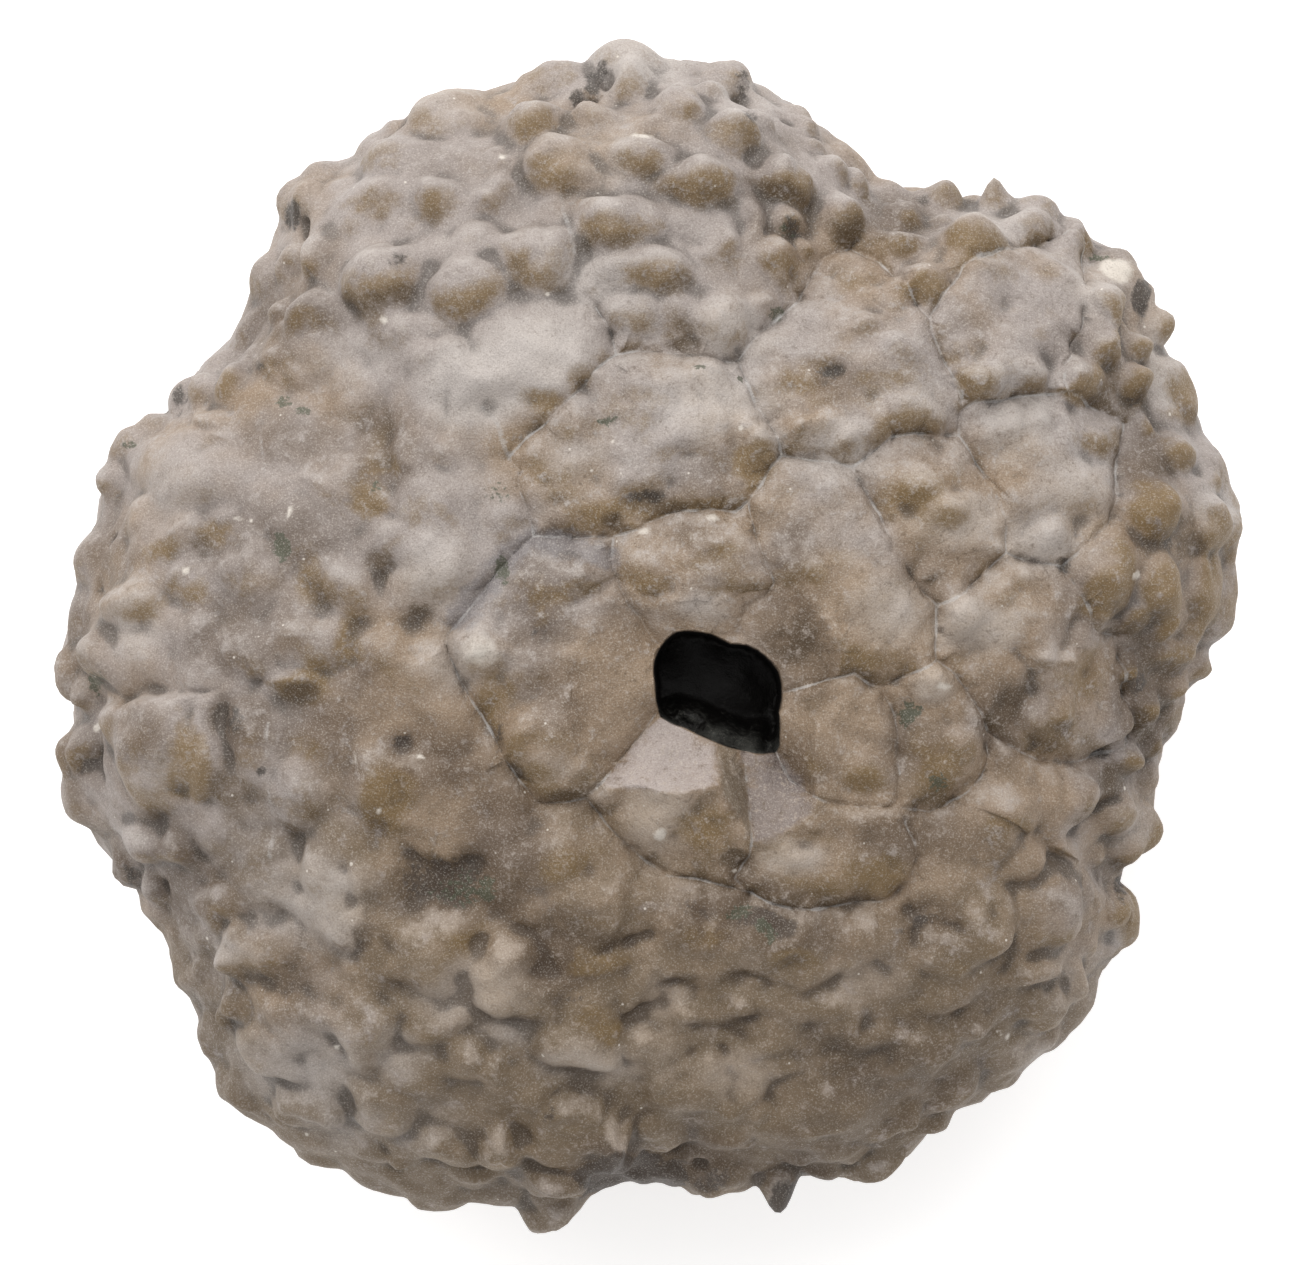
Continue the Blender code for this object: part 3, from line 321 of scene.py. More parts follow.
# %% Seams, drawn plate by plate
SEAMS = (
    ((0.25, -2.4), (-0.2, -3.1), (-0.6, -3.5), (-1.2, -4.2), (-1.8, -4.8)),
    ((-1.8, -4.8), (-2.4, -4.95), (-3.2, -5.0), (-3.8, -4.3), (-4.2, -3.6), (-4.6, -2.9),
     (-5.1, -2.1), (-5.5, -1.4), (-5.8, -0.6), (-5.9, -0.1), (-5.4, 0.5), (-4.9, 1.1), (-4.5, 1.7),
     (-3.9, 2.4), (-3.35, 2.9)),
    ((-3.35, 2.9), (-2.6, 2.87), (-1.9, 2.87), (-1.0, 2.9), (-0.2, 3.1), (0.0, 3.3), (0.8, 3.6),
     (1.9, 3.65), (2.6, 3.6), (3.0, 3.9)),
    ((-1.0, 2.9), (-1.05, 2.2), (-0.8, 1.4), (-0.5, 0.8), (-0.2, 0.5), (0.05, 0.0), (0.3, -0.3)),
    ((3.0, 3.9), (3.1, 3.3), (3.25, 2.8), (3.4, 2.3), (3.6, 1.9), (3.75, 1.5), (3.5, 1.1),
     (3.0, 0.8), (2.8, 0.4), (2.75, 0.0)),
    ((3.0, 3.9), (3.4, 4.4), (3.6, 4.8), (4.0, 5.3), (4.8, 5.2), (5.6, 5.1), (6.1, 4.95),
     (6.5, 4.2), (6.9, 3.5), (7.1, 2.9), (7.6, 2.1), (8.0, 1.5), (8.6, 0.85), (8.6, 0.3),
     (8.5, -0.3), (8.5, -0.75), (8.0, -1.0), (7.5, -1.3), (7.0, -1.6), (6.6, -1.5), (6.1, -1.15),
     (5.5, -1.3), (4.7, -1.55), (4.1, -1.75)),
    ((7.0, -1.6), (7.1, -1.9), (7.4, -2.4), (7.4, -3.2), (7.4, -4.0), (7.4, -5.0), (6.8, -5.1),
     (6.0, -5.05), (5.3, -4.95), (4.8, -4.7), (4.3, -4.4), (4.05, -3.9), (3.95, -3.6)),
    ((2.95, -3.7), (3.0, -4.4), (3.05, -5.2), (3.05, -6.0), (3.0, -6.6), (2.6, -7.2), (2.9, -7.6),
     (3.6, -7.9), (4.3, -8.1), (5.2, -8.15), (6.2, -8.0), (7.2, -7.9), (7.8, -7.4), (7.95, -6.9),
     (7.9, -6.2), (7.6, -5.6), (7.4, -5.0)),
    ((-1.8, -4.8), (-1.2, -5.6), (-0.6, -6.2), (0.0, -6.8), (0.6, -7.15), (1.4, -7.25), (2.2, -7.4),
     (2.9, -7.6)),
    ((8.5, -0.75), (9.0, -1.1), (9.4, -1.6), (9.8, -2.3), (10.1, -2.9), (10.1, -3.6), (9.9, -4.2),
     (9.2, -4.9), (8.4, -5.3), (7.4, -5.1)),
    ((8.6, 0.85), (9.4, 1.3), (10.0, 1.8), (10.6, 2.4), (11.2, 2.2), (12.3, 2.0), (12.6, 1.4),
     (12.9, 0.8), (13.1, 0.2), (14.0, -0.1), (14.1, -0.8), (14.15, -1.6), (14.3, -2.2),
     (14.5, -2.9), (14.0, -3.3), (13.4, -3.6), (12.6, -3.8), (11.6, -3.75), (10.9, -3.45),
     (10.1, -2.9)),
    ((10.6, 2.4), (10.6, 3.1), (10.4, 3.8), (10.2, 4.5), (9.7, 5.2), (9.3, 5.9), (8.0, 5.95),
     (7.2, 5.8), (6.6, 5.3), (6.1, 4.95)),
    ((12.3, 2.0), (12.8, 2.6), (13.6, 3.3), (13.9, 4.0), (13.9, 4.8), (14.1, 5.4), (14.3, 6.3),
     (13.6, 6.6), (12.9, 6.8), (12.2, 7.1), (11.0, 7.05), (10.3, 6.9), (9.6, 6.85), (9.3, 6.6),
     (9.3, 5.9)),
    ((9.3, 6.9), (9.0, 7.6), (8.7, 8.3), (8.4, 8.9), (8.4, 9.3), (8.6, 9.6), (9.1, 10.2),
     (9.4, 10.6), (10.2, 11.0), (11.0, 11.5), (11.8, 11.8), (12.6, 12.0), (13.1, 11.7),
     (13.2, 11.0), (13.1, 10.3), (12.9, 9.6), (12.7, 9.0), (12.5, 8.5), (12.2, 8.0), (12.1, 7.4),
     (12.2, 7.1)),
    ((2.7, 8.1), (3.2, 8.8), (3.8, 9.3), (4.5, 9.9), (4.9, 10.6), (5.3, 11.2), (6.1, 11.4),
     (6.9, 11.0), (7.4, 10.5), (7.7, 10.0), (8.2, 9.4), (8.4, 9.2)),
    ((2.7, 8.1), (2.9, 7.4), (3.2, 6.7), (3.6, 6.2), (3.9, 5.6), (4.0, 5.3)),
    ((-3.35, 2.9), (-3.5, 3.6), (-3.75, 4.3), (-3.75, 4.8), (-4.1, 5.2), (-3.5, 5.8), (-2.9, 6.2),
     (-2.3, 6.8), (-1.9, 7.2), (-1.3, 7.9), (-0.9, 8.25), (-0.3, 8.4), (0.5, 8.35), (1.4, 8.25),
     (2.0, 8.1), (2.7, 8.0)),
    ((-0.9, 8.25), (-1.1, 9.0), (-1.5, 9.6)),
)
FAINT_SEAMS = (
    ((-11.1, 7.3), (-11.2, 5.5), (-11.2, 4.2)),
    ((-2.5, 12.6), (-2.2, 11.6), (-2.05, 10.9)),
    ((3.7, 9.2), (4.0, 9.5)),
    ((-10.9, -2.6), (-10.9, -4.2), (-10.8, -6.4)),
    ((-5.0, 6.7), (-4.4, 6.2), (-4.1, 5.2)),
)
HAZE_LINES = (
    ((-5.4, 0.5), (-4.5, 1.8), (-3.35, 2.8), (-2.4, 2.6), (-1.2, 2.3)),
)
SEAM_REACH = 3.0            # mm beyond which a seam has no effect


def segments_on_dome(line):
    """The stretches of a line, laid on the smooth dome."""
    plan = np.array(line)
    path = np.column_stack((plan, dome_height(plan[:, 0], plan[:, 1])))
    return list(zip(path[:-1], path[1:]))


def near(points, corner_a, corner_b, margin):
    """Indices of the points in the box round two corners, seen from above."""
    low = np.minimum(corner_a, corner_b)[:2] - margin
    high = np.maximum(corner_a, corner_b)[:2] + margin
    plan = points[:, :2]
    return np.flatnonzero(((plan > low) & (plan < high)).all(axis=1))


def nearest_on_lines(points, lines, reach=SEAM_REACH):
    """Distance to the nearest line, and the point on it."""
    distance = np.full(len(points), reach)
    foot = points.copy()
    for line in lines:
        for start, end in segments_on_dome(line):
            close = near(points, start, end, reach)
            run = end - start
            along = np.clip((points[close] - start) @ run / (run @ run), 0.0, 1.0)
            spot = start + along[:, None] * run
            gap = np.linalg.norm(points[close] - spot, axis=1)
            better = gap < distance[close]
            distance[close[better]] = gap[better]
            foot[close[better]] = spot[better]
    return distance, foot


print("seams:", len(SEAMS), "faint seams:", len(FAINT_SEAMS))

# %% [markdown]
# ## The opening
# Six plates ring the opening. Their inner faces are flat and lean towards it from a crest.
# Its edge and the crest are drawn like the seams.

# %% The opening and the crest round it
OPENING = (
    (0.9, 0.1), (1.4, 0.12), (2.0, 0.0), (2.5, -0.25), (3.0, -0.3), (3.5, -0.6), (3.95, -1.1),
    (4.1, -1.8), (4.0, -2.4), (4.05, -3.0), (4.0, -3.65), (2.9, -3.6), (2.0, -3.25), (1.1, -2.85),
    (0.35, -2.5), (0.2, -1.5), (0.15, -1.0), (0.25, -0.6), (0.5, -0.2),
)
CREST = (
    (-1.9, 0.9), (-0.9, 1.4), (0.2, 1.1), (1.5, 1.0), (2.7, 1.2), (3.4, 1.3), (4.3, 1.3),
    (5.3, 0.5), (5.7, -0.4), (5.6, -1.2), (4.9, -1.8), (4.9, -2.6), (4.9, -3.6), (5.0, -4.6),
    (4.9, -5.2), (4.2, -5.7), (3.1, -6.1), (2.6, -5.2), (2.0, -4.35), (1.0, -4.55), (0.0, -4.4),
    (-1.2, -4.5), (-1.7, -3.8), (-2.1, -3.0), (-2.2, -1.5), (-2.1, -0.2),
)


def closed(loop):
    return tuple(map(tuple, loop)) + (tuple(loop[0]),)


opening_line = closed(smooth_loop(OPENING, 2))
crest_line = closed(CREST)
print("corners of the opening:", len(OPENING), "of the crest:", len(CREST))

# %% [markdown]
# A line is only crisp if the mesh has edges on it. Points very near a line are slid onto it,
# and then a standing plane cuts the triangles under each stretch of it. Only after that is the
# mesh made fine, which leaves the cuts where they are.

# %% Cut the dome along the drawn lines
SLIDE = 0.10                # mm from a line within which a point is slid onto it
CUT_REACH = 0.40            # mm from a stretch within which triangles are cut
CUT_TOLERANCE = 0.01        # mm from the plane at which a corner counts as on it
FINE_CUTS = 3
INNER_DOME = 0.96           # share of the rim's radius inside which points keep to the dome


def move_points(mesh, targets):
    for vertex, target in zip(mesh.verts, targets):
        vertex.co = target


def point_normals(mesh):
    mesh.normal_update()
    return np.array([vertex.normal for vertex in mesh.verts])


def cut_dome(mesh, lines):
    """Cut the triangles under each stretch of some lines with a standing plane."""
    faces = list(mesh.faces)
    centres = np.array([face.calc_center_median() for face in faces])
    for line in lines:
        for start, end in zip(np.array(line[:-1]), np.array(line[1:])):
            run = end - start
            offset = centres[:, :2] - start
            along = np.clip(offset @ run / (run @ run), 0.0, 1.0)
            gap = np.hypot(*(offset - along[:, None] * run).T)
            chosen = np.flatnonzero((gap < CUT_REACH) & (centres[:, 2] > RIM_HEIGHT))
            geometry = set()
            for index in chosen:
                geometry.update((faces[index], *faces[index].edges, *faces[index].verts))
            cut = bmesh.ops.bisect_plane(mesh, geom=list(geometry), dist=CUT_TOLERANCE,
                                         plane_co=(*start, 0.0), plane_no=(-run[1], run[0], 0.0))
            fresh = [item for item in cut["geom"] if isinstance(item, bmesh.types.BMFace)]
            fresh = [face for face in fresh if face not in geometry]
            if fresh:
                faces += fresh
                centres = np.vstack((centres, [face.calc_center_median() for face in fresh]))


cut_lines = SEAMS + (opening_line, crest_line)
line_distance, line_foot = nearest_on_lines(body, cut_lines)
slid = (line_distance < SLIDE) & upper
body[slid] = line_foot[slid]
move_points(calyx_bm, body)
cut_dome(calyx_bm, cut_lines)
bmesh.ops.triangulate(calyx_bm, faces=[face for face in calyx_bm.faces if len(face.verts) > 3])
bmesh.ops.subdivide_edges(calyx_bm, edges=list(calyx_bm.edges), cuts=FINE_CUTS, use_grid_fill=True)
calyx_bm.verts.index_update()
body = np.array([vertex.co for vertex in calyx_bm.verts])
upper = body[:, 2] >= RIM_HEIGHT
rim_share = np.hypot(body[:, 0], body[:, 1]) / outline_radius(np.arctan2(body[:, 1], body[:, 0]))
inner_dome = upper & (rim_share < INNER_DOME)
body[inner_dome, 2] = dome_height(body[inner_dome, 0], body[inner_dome, 1])
move_points(calyx_bm, body)
body_normals = point_normals(calyx_bm)
seam_distance, _ = nearest_on_lines(body, SEAMS)
faint_distance, _ = nearest_on_lines(body, FAINT_SEAMS)
print("points after the cuts:", len(body), "triangles:", len(calyx_bm.faces))

# %% [markdown]
# ## Knobs, pits and ridges
# Each knob is a mound with an elliptical foot, and where two meet, the higher one wins, so
# they crowd against each other with a crease between, as the real ones do. The places are
# bent by a little noise first, which keeps any foot from being a perfect ellipse.

# %% Knobs of the northern lobe: x, y, half width, half height, rise, all mm
NORTH_KNOBS = (
    (-10.3, 13.3, 0.45, 0.9, 0.46), (-9.9, 11.4, 0.55, 0.75, 0.7), (-10.8, 11.3, 0.45, 0.55, 0.46),
    (-11.0, 9.7, 0.45, 0.65, 0.54), (-9.9, 9.6, 0.8, 0.75, 0.7), (-7.9, 10.7, 1.3, 0.95, 0.98),
    (-8.3, 12.8, 1.3, 1.0, 0.46), (-7.6, 14.4, 1.4, 1.1, 0.69), (-6.3, 15.5, 1.3, 0.7, 0.52),
    (-6.2, 12.9, 0.75, 0.7, 0.68), (-4.75, 12.7, 0.4, 0.4, 0.45), (-4.2, 13.8, 0.35, 0.35, 0.38),
    (-4.25, 13.3, 0.35, 0.35, 0.38), (-4.6, 14.1, 0.3, 0.3, 0.28), (-3.4, 15.4, 1.1, 1.0, 1.01),
    (-5.3, 10.2, 1.3, 1.0, 0.83), (-3.3, 11.2, 1.4, 1.1, 0.9), (-5.0, 11.5, 0.9, 0.8, 0.45),
    (-7.0, 8.8, 0.5, 0.5, 0.33), (-6.5, 8.1, 0.5, 0.5, 0.33), (-5.6, 8.4, 0.65, 0.45, 0.38),
    (-3.1, 8.4, 2.2, 1.6, 0.62), (-5.3, 7.5, 1.1, 0.9, 0.35), (-6.3, 3.2, 1.3, 1.8, 0.52),
    (-0.6, 16.9, 0.75, 0.9, 0.86), (-2.9, 16.8, 0.8, 0.4, 0.46), (-1.5, 15.5, 0.6, 0.55, 0.65),
    (0.9, 16.0, 0.75, 0.95, 0.85), (1.9, 16.3, 0.6, 0.4, 0.44), (2.6, 17.0, 0.5, 0.5, 0.57),
    (2.4, 15.0, 0.85, 0.9, 0.85), (3.35, 15.2, 0.42, 0.42, 0.5), (4.6, 15.3, 0.55, 0.45, 0.44),
    (4.9, 14.6, 0.35, 0.35, 0.32), (-2.7, 14.0, 0.9, 1.05, 0.98), (-2.0, 13.4, 0.5, 0.5, 0.48),
    (-0.2, 14.1, 1.3, 0.55, 0.68), (1.5, 13.5, 1.1, 0.75, 0.83), (3.9, 13.6, 1.0, 0.75, 1.01),
    (-0.8, 12.2, 1.4, 1.05, 1.05), (3.0, 12.4, 0.45, 0.45, 0.48), (3.0, 11.9, 0.35, 0.35, 0.38),
    (2.2, 11.6, 0.45, 0.45, 0.45), (1.8, 11.1, 0.35, 0.35, 0.33), (4.1, 12.3, 0.5, 0.5, 0.51),
    (4.6, 11.6, 0.35, 0.35, 0.36), (3.8, 11.3, 0.7, 0.7, 0.57), (3.8, 10.7, 0.4, 0.4, 0.36),
    (5.8, 12.6, 0.75, 0.95, 0.93), (-0.1, 10.7, 1.5, 0.7, 0.68), (2.2, 9.3, 0.9, 0.85, 0.63),
    (3.3, 9.9, 0.35, 0.35, 0.3), (-0.5, 9.5, 0.9, 0.6, 0.48),
)
print("northern knobs:", len(NORTH_KNOBS))

# %% Knobs of the eastern lobe
EAST_KNOBS = (
    (15.9, 5.4, 0.85, 0.75, 0.55), (15.8, 6.7, 0.6, 0.45, 0.42), (15.0, 6.1, 0.4, 0.4, 0.3),
    (14.3, 9.2, 0.5, 0.4, 0.4), (16.4, 0.2, 0.6, 0.5, 0.45), (15.9, -1.6, 0.5, 0.5, 0.42),
    (14.4, -2.6, 0.4, 0.45, 0.32), (15.2, -4.3, 0.5, 0.5, 0.4), (9.0, 12.3, 0.55, 0.45, 0.38),
    (6.3, 13.6, 0.55, 0.75, 0.55), (5.5, 13.9, 0.55, 0.5, 0.59), (7.8, 12.6, 0.55, 0.55, 0.59),
    (8.3, 13.2, 0.45, 0.45, 0.37), (7.6, 11.6, 0.95, 0.45, 0.5), (9.8, 13.0, 0.65, 0.45, 0.44),
    (10.0, 11.7, 1.1, 0.85, 0.85), (10.0, 10.9, 1.1, 0.4, 0.38), (11.8, 12.5, 0.8, 0.65, 0.6),
    (13.3, 12.0, 0.65, 0.45, 0.55), (13.8, 10.0, 0.65, 0.75, 0.81), (13.6, 8.7, 0.75, 0.65, 0.81),
    (14.7, 8.7, 0.55, 0.55, 0.65), (12.9, 7.7, 0.9, 0.8, 0.83), (14.6, 7.5, 0.65, 0.65, 0.7),
    (8.3, 10.4, 0.85, 0.85, 0.57), (6.6, 9.0, 0.45, 0.45, 0.3), (7.5, 8.4, 0.45, 0.45, 0.3),
    (9.8, 7.5, 0.65, 0.45, 0.42), (11.3, 7.7, 0.75, 0.5, 0.48), (8.5, 6.4, 0.65, 0.5, 0.51),
    (7.7, 6.6, 0.45, 0.45, 0.42), (7.0, 6.3, 0.35, 0.65, 0.42), (11.6, 6.4, 0.45, 0.45, 0.33),
    (12.3, 6.4, 0.35, 0.35, 0.3), (5.3, 6.2, 0.45, 0.45, 0.33), (5.9, 5.7, 0.45, 0.45, 0.33),
    (4.5, 5.9, 0.35, 0.35, 0.27), (8.0, 4.4, 0.8, 0.8, 0.48), (8.8, 3.6, 0.9, 0.5, 0.48),
    (15.0, 3.7, 0.95, 1.05, 0.85), (17.0, 3.3, 0.9, 0.9, 0.8), (16.8, 4.4, 0.65, 0.35, 0.48),
    (13.6, 1.9, 1.0, 1.5, 0.78), (14.65, 1.8, 0.22, 0.22, 0.22), (15.4, 1.5, 0.95, 0.95, 0.85),
    (14.5, 0.5, 0.5, 0.5, 0.48), (15.4, 0.4, 0.45, 0.45, 0.5), (16.8, 1.5, 0.75, 1.3, 0.63),
    (15.9, -0.5, 0.95, 0.5, 0.48), (16.5, -1.1, 0.55, 0.55, 0.48), (14.5, -0.9, 0.45, 0.45, 0.43),
    (15.1, -2.2, 0.55, 0.65, 0.59), (14.6, -1.8, 0.22, 0.22, 0.22), (15.5, -3.3, 0.55, 0.55, 0.48),
    (14.5, -3.7, 0.65, 0.55, 0.59), (10.3, 1.4, 0.45, 0.45, 0.33), (11.0, 1.7, 0.35, 0.35, 0.3),
    (9.3, 0.6, 0.65, 0.65, 0.42), (12.2, -2.3, 0.45, 0.45, 0.33), (12.3, -0.4, 0.35, 0.35, 0.27),
    (11.5, -0.4, 0.65, 0.65, 0.38), (8.4, -1.4, 0.85, 0.65, 0.63), (9.4, -3.3, 0.65, 0.65, 0.42),
)
print("eastern knobs:", len(EAST_KNOBS))

# %% Knobs of the southern lobes
SOUTH_KNOBS = (
    (14.2, -5.6, 0.7, 0.5, 0.59), (14.6, -6.5, 0.65, 0.55, 0.55), (13.7, -6.8, 0.45, 0.45, 0.37),
    (12.5, -6.7, 0.85, 0.55, 0.65), (12.2, -8.3, 1.2, 1.0, 0.93), (14.3, -8.5, 0.75, 0.65, 0.6),
    (13.2, -9.5, 0.55, 0.55, 0.48), (11.5, -10.0, 1.05, 0.45, 0.65),
    (12.8, -10.4, 0.65, 0.65, 0.55), (12.0, -11.3, 0.95, 0.55, 0.74),
    (10.0, -11.5, 0.55, 0.65, 0.65), (10.7, -11.7, 0.3, 0.3, 0.34), (11.8, -12.2, 0.55, 0.55, 0.44),
    (10.0, -8.7, 1.1, 1.0, 0.63), (10.5, -5.2, 1.35, 1.0, 0.57), (11.8, -4.9, 0.22, 0.22, 0.18),
    (12.8, -4.8, 0.75, 0.75, 0.5), (1.4, -11.3, 0.65, 0.45, 0.48), (6.2, -11.2, 0.55, 0.55, 0.48),
    (3.7, -14.0, 0.75, 0.45, 0.59), (4.5, -15.5, 0.6, 0.6, 0.44), (7.9, -14.5, 0.75, 0.55, 0.48),
    (2.2, -16.3, 0.95, 0.55, 0.55), (6.9, -16.1, 0.55, 0.55, 0.48), (-4.0, -10.3, 1.4, 1.2, 0.83),
    (-6.3, -9.6, 1.2, 1.0, 0.68), (-1.5, -11.4, 1.0, 0.55, 0.57), (-2.0, -12.3, 1.4, 0.9, 0.83),
    (-6.3, -11.5, 1.0, 0.7, 0.63), (-8.5, -11.6, 1.1, 1.1, 0.68), (-9.4, -12.3, 0.3, 0.3, 0.27),
    (-7.2, -11.0, 0.25, 0.25, 0.21), (-1.7, -15.3, 1.3, 1.2, 1.01), (-3.0, -16.5, 1.05, 0.85, 0.9),
    (-4.3, -15.4, 0.85, 0.65, 0.74), (-6.0, -15.4, 1.05, 0.75, 0.74),
    (-5.2, -16.3, 0.65, 0.55, 0.48), (-7.3, -15.7, 0.35, 0.35, 0.43),
    (-8.3, -15.6, 0.75, 0.55, 0.48), (-3.2, -17.0, 0.45, 0.45, 0.37),
    (-4.4, -16.9, 0.45, 0.45, 0.37), (-2.8, -17.4, 0.5, 0.5, 0.63), (8.7, -9.3, 1.3, 0.55, 0.4),
    (5.5, -11.0, 1.3, 0.45, 0.38), (6.6, -11.8, 1.2, 0.5, 0.38), (8.2, -12.3, 1.3, 1.0, 0.5),
    (4.9, -14.4, 2.3, 1.8, 0.45), (1.2, -13.2, 1.5, 0.9, 0.45), (9.4, -13.7, 1.1, 0.8, 0.45),
    (8.9, -10.5, 0.9, 0.7, 0.45), (3.0, -11.0, 0.9, 0.4, 0.36), (-0.2, -12.0, 0.9, 0.7, 0.4),
    (7.0, -14.9, 0.9, 0.7, 0.54), (6.0, -15.6, 0.8, 0.5, 0.4), (2.6, -15.0, 0.9, 0.6, 0.54),
    (0.3, -14.9, 0.9, 0.7, 0.54), (11.0, -12.8, 0.8, 0.6, 0.38), (4.0, -9.0, 1.5, 0.5, 0.22),
    (1.3, -8.6, 1.3, 0.6, 0.26), (6.5, -8.9, 1.0, 0.5, 0.26), (-9.5, -11.2, 1.1, 0.7, 0.4),
    (-11.2, -12.4, 1.2, 0.8, 0.57), (-10.4, -14.2, 1.0, 0.7, 0.54), (-4.9, -12.8, 1.1, 0.5, 0.4),
    (-6.9, -12.9, 1.0, 0.7, 0.36), (-3.5, -13.5, 0.7, 0.5, 0.34), (-10.8, -9.3, 0.55, 0.6, 0.34),
    (-12.6, -8.0, 1.0, 0.8, 0.46), (-12.4, -6.0, 0.9, 0.9, 0.3), (-3.0, -6.6, 1.4, 1.0, 0.34),
    (-1.6, -7.9, 1.2, 0.8, 0.34), (-4.2, -5.8, 0.9, 0.5, 0.26), (-8.0, -14.0, 1.1, 1.0, 0.65),
    (-9.7, -14.2, 0.65, 0.65, 0.59),
)
print("southern knobs:", len(SOUTH_KNOBS))

# %% Knobs of the western lobe and of the dome's western side
WEST_KNOBS = (
    (-11.9, -9.7, 0.95, 0.9, 0.85), (-15.0, -6.2, 1.05, 0.65, 0.81),
    (-14.0, -6.3, 0.65, 0.65, 0.59), (-15.9, -7.2, 0.45, 0.45, 0.44),
    (-14.9, -7.7, 0.55, 0.55, 0.44), (-13.6, -10.5, 0.35, 0.65, 0.37),
    (-12.5, -11.2, 0.55, 0.55, 0.5), (-11.3, -11.3, 0.25, 0.25, 0.22),
    (-10.5, -11.5, 1.1, 1.0, 0.53), (-13.1, -12.8, 0.35, 0.75, 0.44),
    (-14.4, -3.4, 2.1, 1.85, 1.19), (-15.8, -2.5, 0.7, 0.95, 0.77), (-16.5, -0.8, 0.85, 0.65, 0.81),
    (-17.0, -1.8, 0.55, 0.55, 0.55), (-17.5, -1.3, 0.45, 0.45, 0.48),
    (-17.1, -3.5, 0.65, 0.7, 0.57), (-16.9, 0.6, 0.35, 0.35, 0.29), (-15.5, 0.8, 1.35, 0.7, 0.7),
    (-16.8, 2.6, 0.45, 0.45, 0.37), (-10.4, -1.4, 0.95, 0.75, 0.47), (-11.5, -3.1, 0.8, 1.3, 0.44),
    (-15.0, 6.2, 0.75, 0.4, 0.4), (-13.0, 6.3, 0.95, 0.45, 0.5), (-13.4, 7.4, 0.75, 0.6, 0.52),
    (-12.4, 7.5, 0.55, 0.8, 0.5), (-13.8, 1.9, 0.25, 0.25, 0.19), (-12.3, 3.4, 0.45, 0.3, 0.2),
    (-14.2, 2.8, 0.2, 0.2, 0.19), (-16.4, -2.8, 0.2, 0.2, 0.22), (-13.5, 4.8, 2.2, 1.3, 0.35),
    (-15.3, 3.5, 0.8, 0.6, 0.5), (-10.5, 8.3, 1.7, 1.2, 0.43), (-11.5, 1.9, 1.2, 0.9, 0.4),
    (-8.7, 1.3, 0.75, 1.0, 0.4), (-6.3, 1.9, 1.0, 1.0, 0.47), (-9.3, 4.5, 1.2, 0.8, 0.3),
    (-7.4, 2.8, 0.6, 0.42, 0.33), (-11.6, -0.6, 1.0, 0.7, 0.4), (-9.9, -0.2, 1.1, 0.7, 0.35),
    (-7.7, -0.7, 0.9, 1.0, 0.35), (-10.3, -4.6, 0.9, 1.3, 0.4), (-9.1, -7.6, 1.35, 1.9, 0.75),
    (-11.2, -7.0, 1.5, 1.0, 0.38), (-7.7, -4.3, 1.2, 1.2, 0.44), (-6.3, -4.4, 0.7, 0.9, 0.35),
    (-6.3, -1.4, 1.0, 1.1, 0.28), (-12.9, -1.3, 0.6, 0.6, 0.38), (-13.6, 3.0, 0.7, 0.6, 0.3),
    (-4.9, -0.5, 1.05, 0.95, 0.68), (-3.2, -3.1, 1.3, 1.2, 0.5), (3.5, 5.4, 0.55, 0.55, 0.33),
    (0.4, -6.0, 0.3, 0.3, 0.28), (-8.0, -5.2, 0.3, 0.3, 0.22), (-6.6, 5.2, 1.0, 0.9, 0.25),
    (-8.9, 7.2, 1.0, 0.8, 0.22),
)
ALL_KNOBS = NORTH_KNOBS + EAST_KNOBS + SOUTH_KNOBS + WEST_KNOBS
print("all knobs:", len(ALL_KNOBS))

# %% Tips of the knobs that stand out of the rim: x, y, half width
RIM_TIPS = (
    (17.95, 3.3, 1.38), (17.7, 1.2, 1.3), (16.85, -1.1, 0.65), (16.1, -2.6, 0.87),
    (15.35, -4.4, 0.72), (15.3, -6.1, 0.87), (14.95, -8.65, 0.87), (14.0, -9.7, 0.58),
    (13.4, -11.1, 0.87), (12.4, -12.2, 0.72), (10.9, -13.5, 0.87), (9.0, -14.8, 0.87),
    (7.05, -16.5, 0.87), (5.3, -16.4, 0.87), (2.2, -16.9, 1.16), (0.2, -16.5, 0.87),
    (-2.75, -17.8, 1.16), (-4.6, -17.2, 0.87), (-6.2, -17.05, 1.16), (-8.3, -16.5, 1.16),
    (-10.5, -15.4, 1.3), (-12.7, -14.0, 0.87), (-13.4, -12.2, 0.87), (-14.05, -10.2, 0.8),
    (-15.0, -8.4, 0.72), (-16.1, -7.2, 0.58), (-17.6, -5.0, 0.94), (-17.8, -3.7, 0.65),
    (-17.95, -1.4, 0.87), (-17.4, 0.7, 0.87), (-17.25, 2.1, 0.87), (-16.5, 4.7, 0.72),
    (-15.8, 6.1, 0.72), (-14.2, 7.3, 0.72), (-13.1, 8.4, 0.65), (-12.3, 9.4, 0.58),
    (-11.75, 11.0, 0.87), (-11.0, 13.1, 0.87), (-9.9, 14.1, 0.65), (-8.3, 15.15, 0.8),
    (-6.3, 16.25, 1.3), (-3.1, 16.92, 1.09), (-0.7, 17.7, 1.09), (0.9, 17.05, 0.72),
    (2.5, 17.25, 0.87), (4.6, 15.8, 0.58), (6.3, 14.35, 0.72), (7.6, 13.6, 0.58), (8.9, 13.6, 0.72),
    (11.7, 13.3, 0.87), (13.3, 12.35, 0.58), (14.6, 11.5, 0.8), (15.15, 10.3, 0.58),
    (15.75, 9.4, 0.58), (16.3, 7.4, 1.16), (17.2, 5.0, 0.87),
)
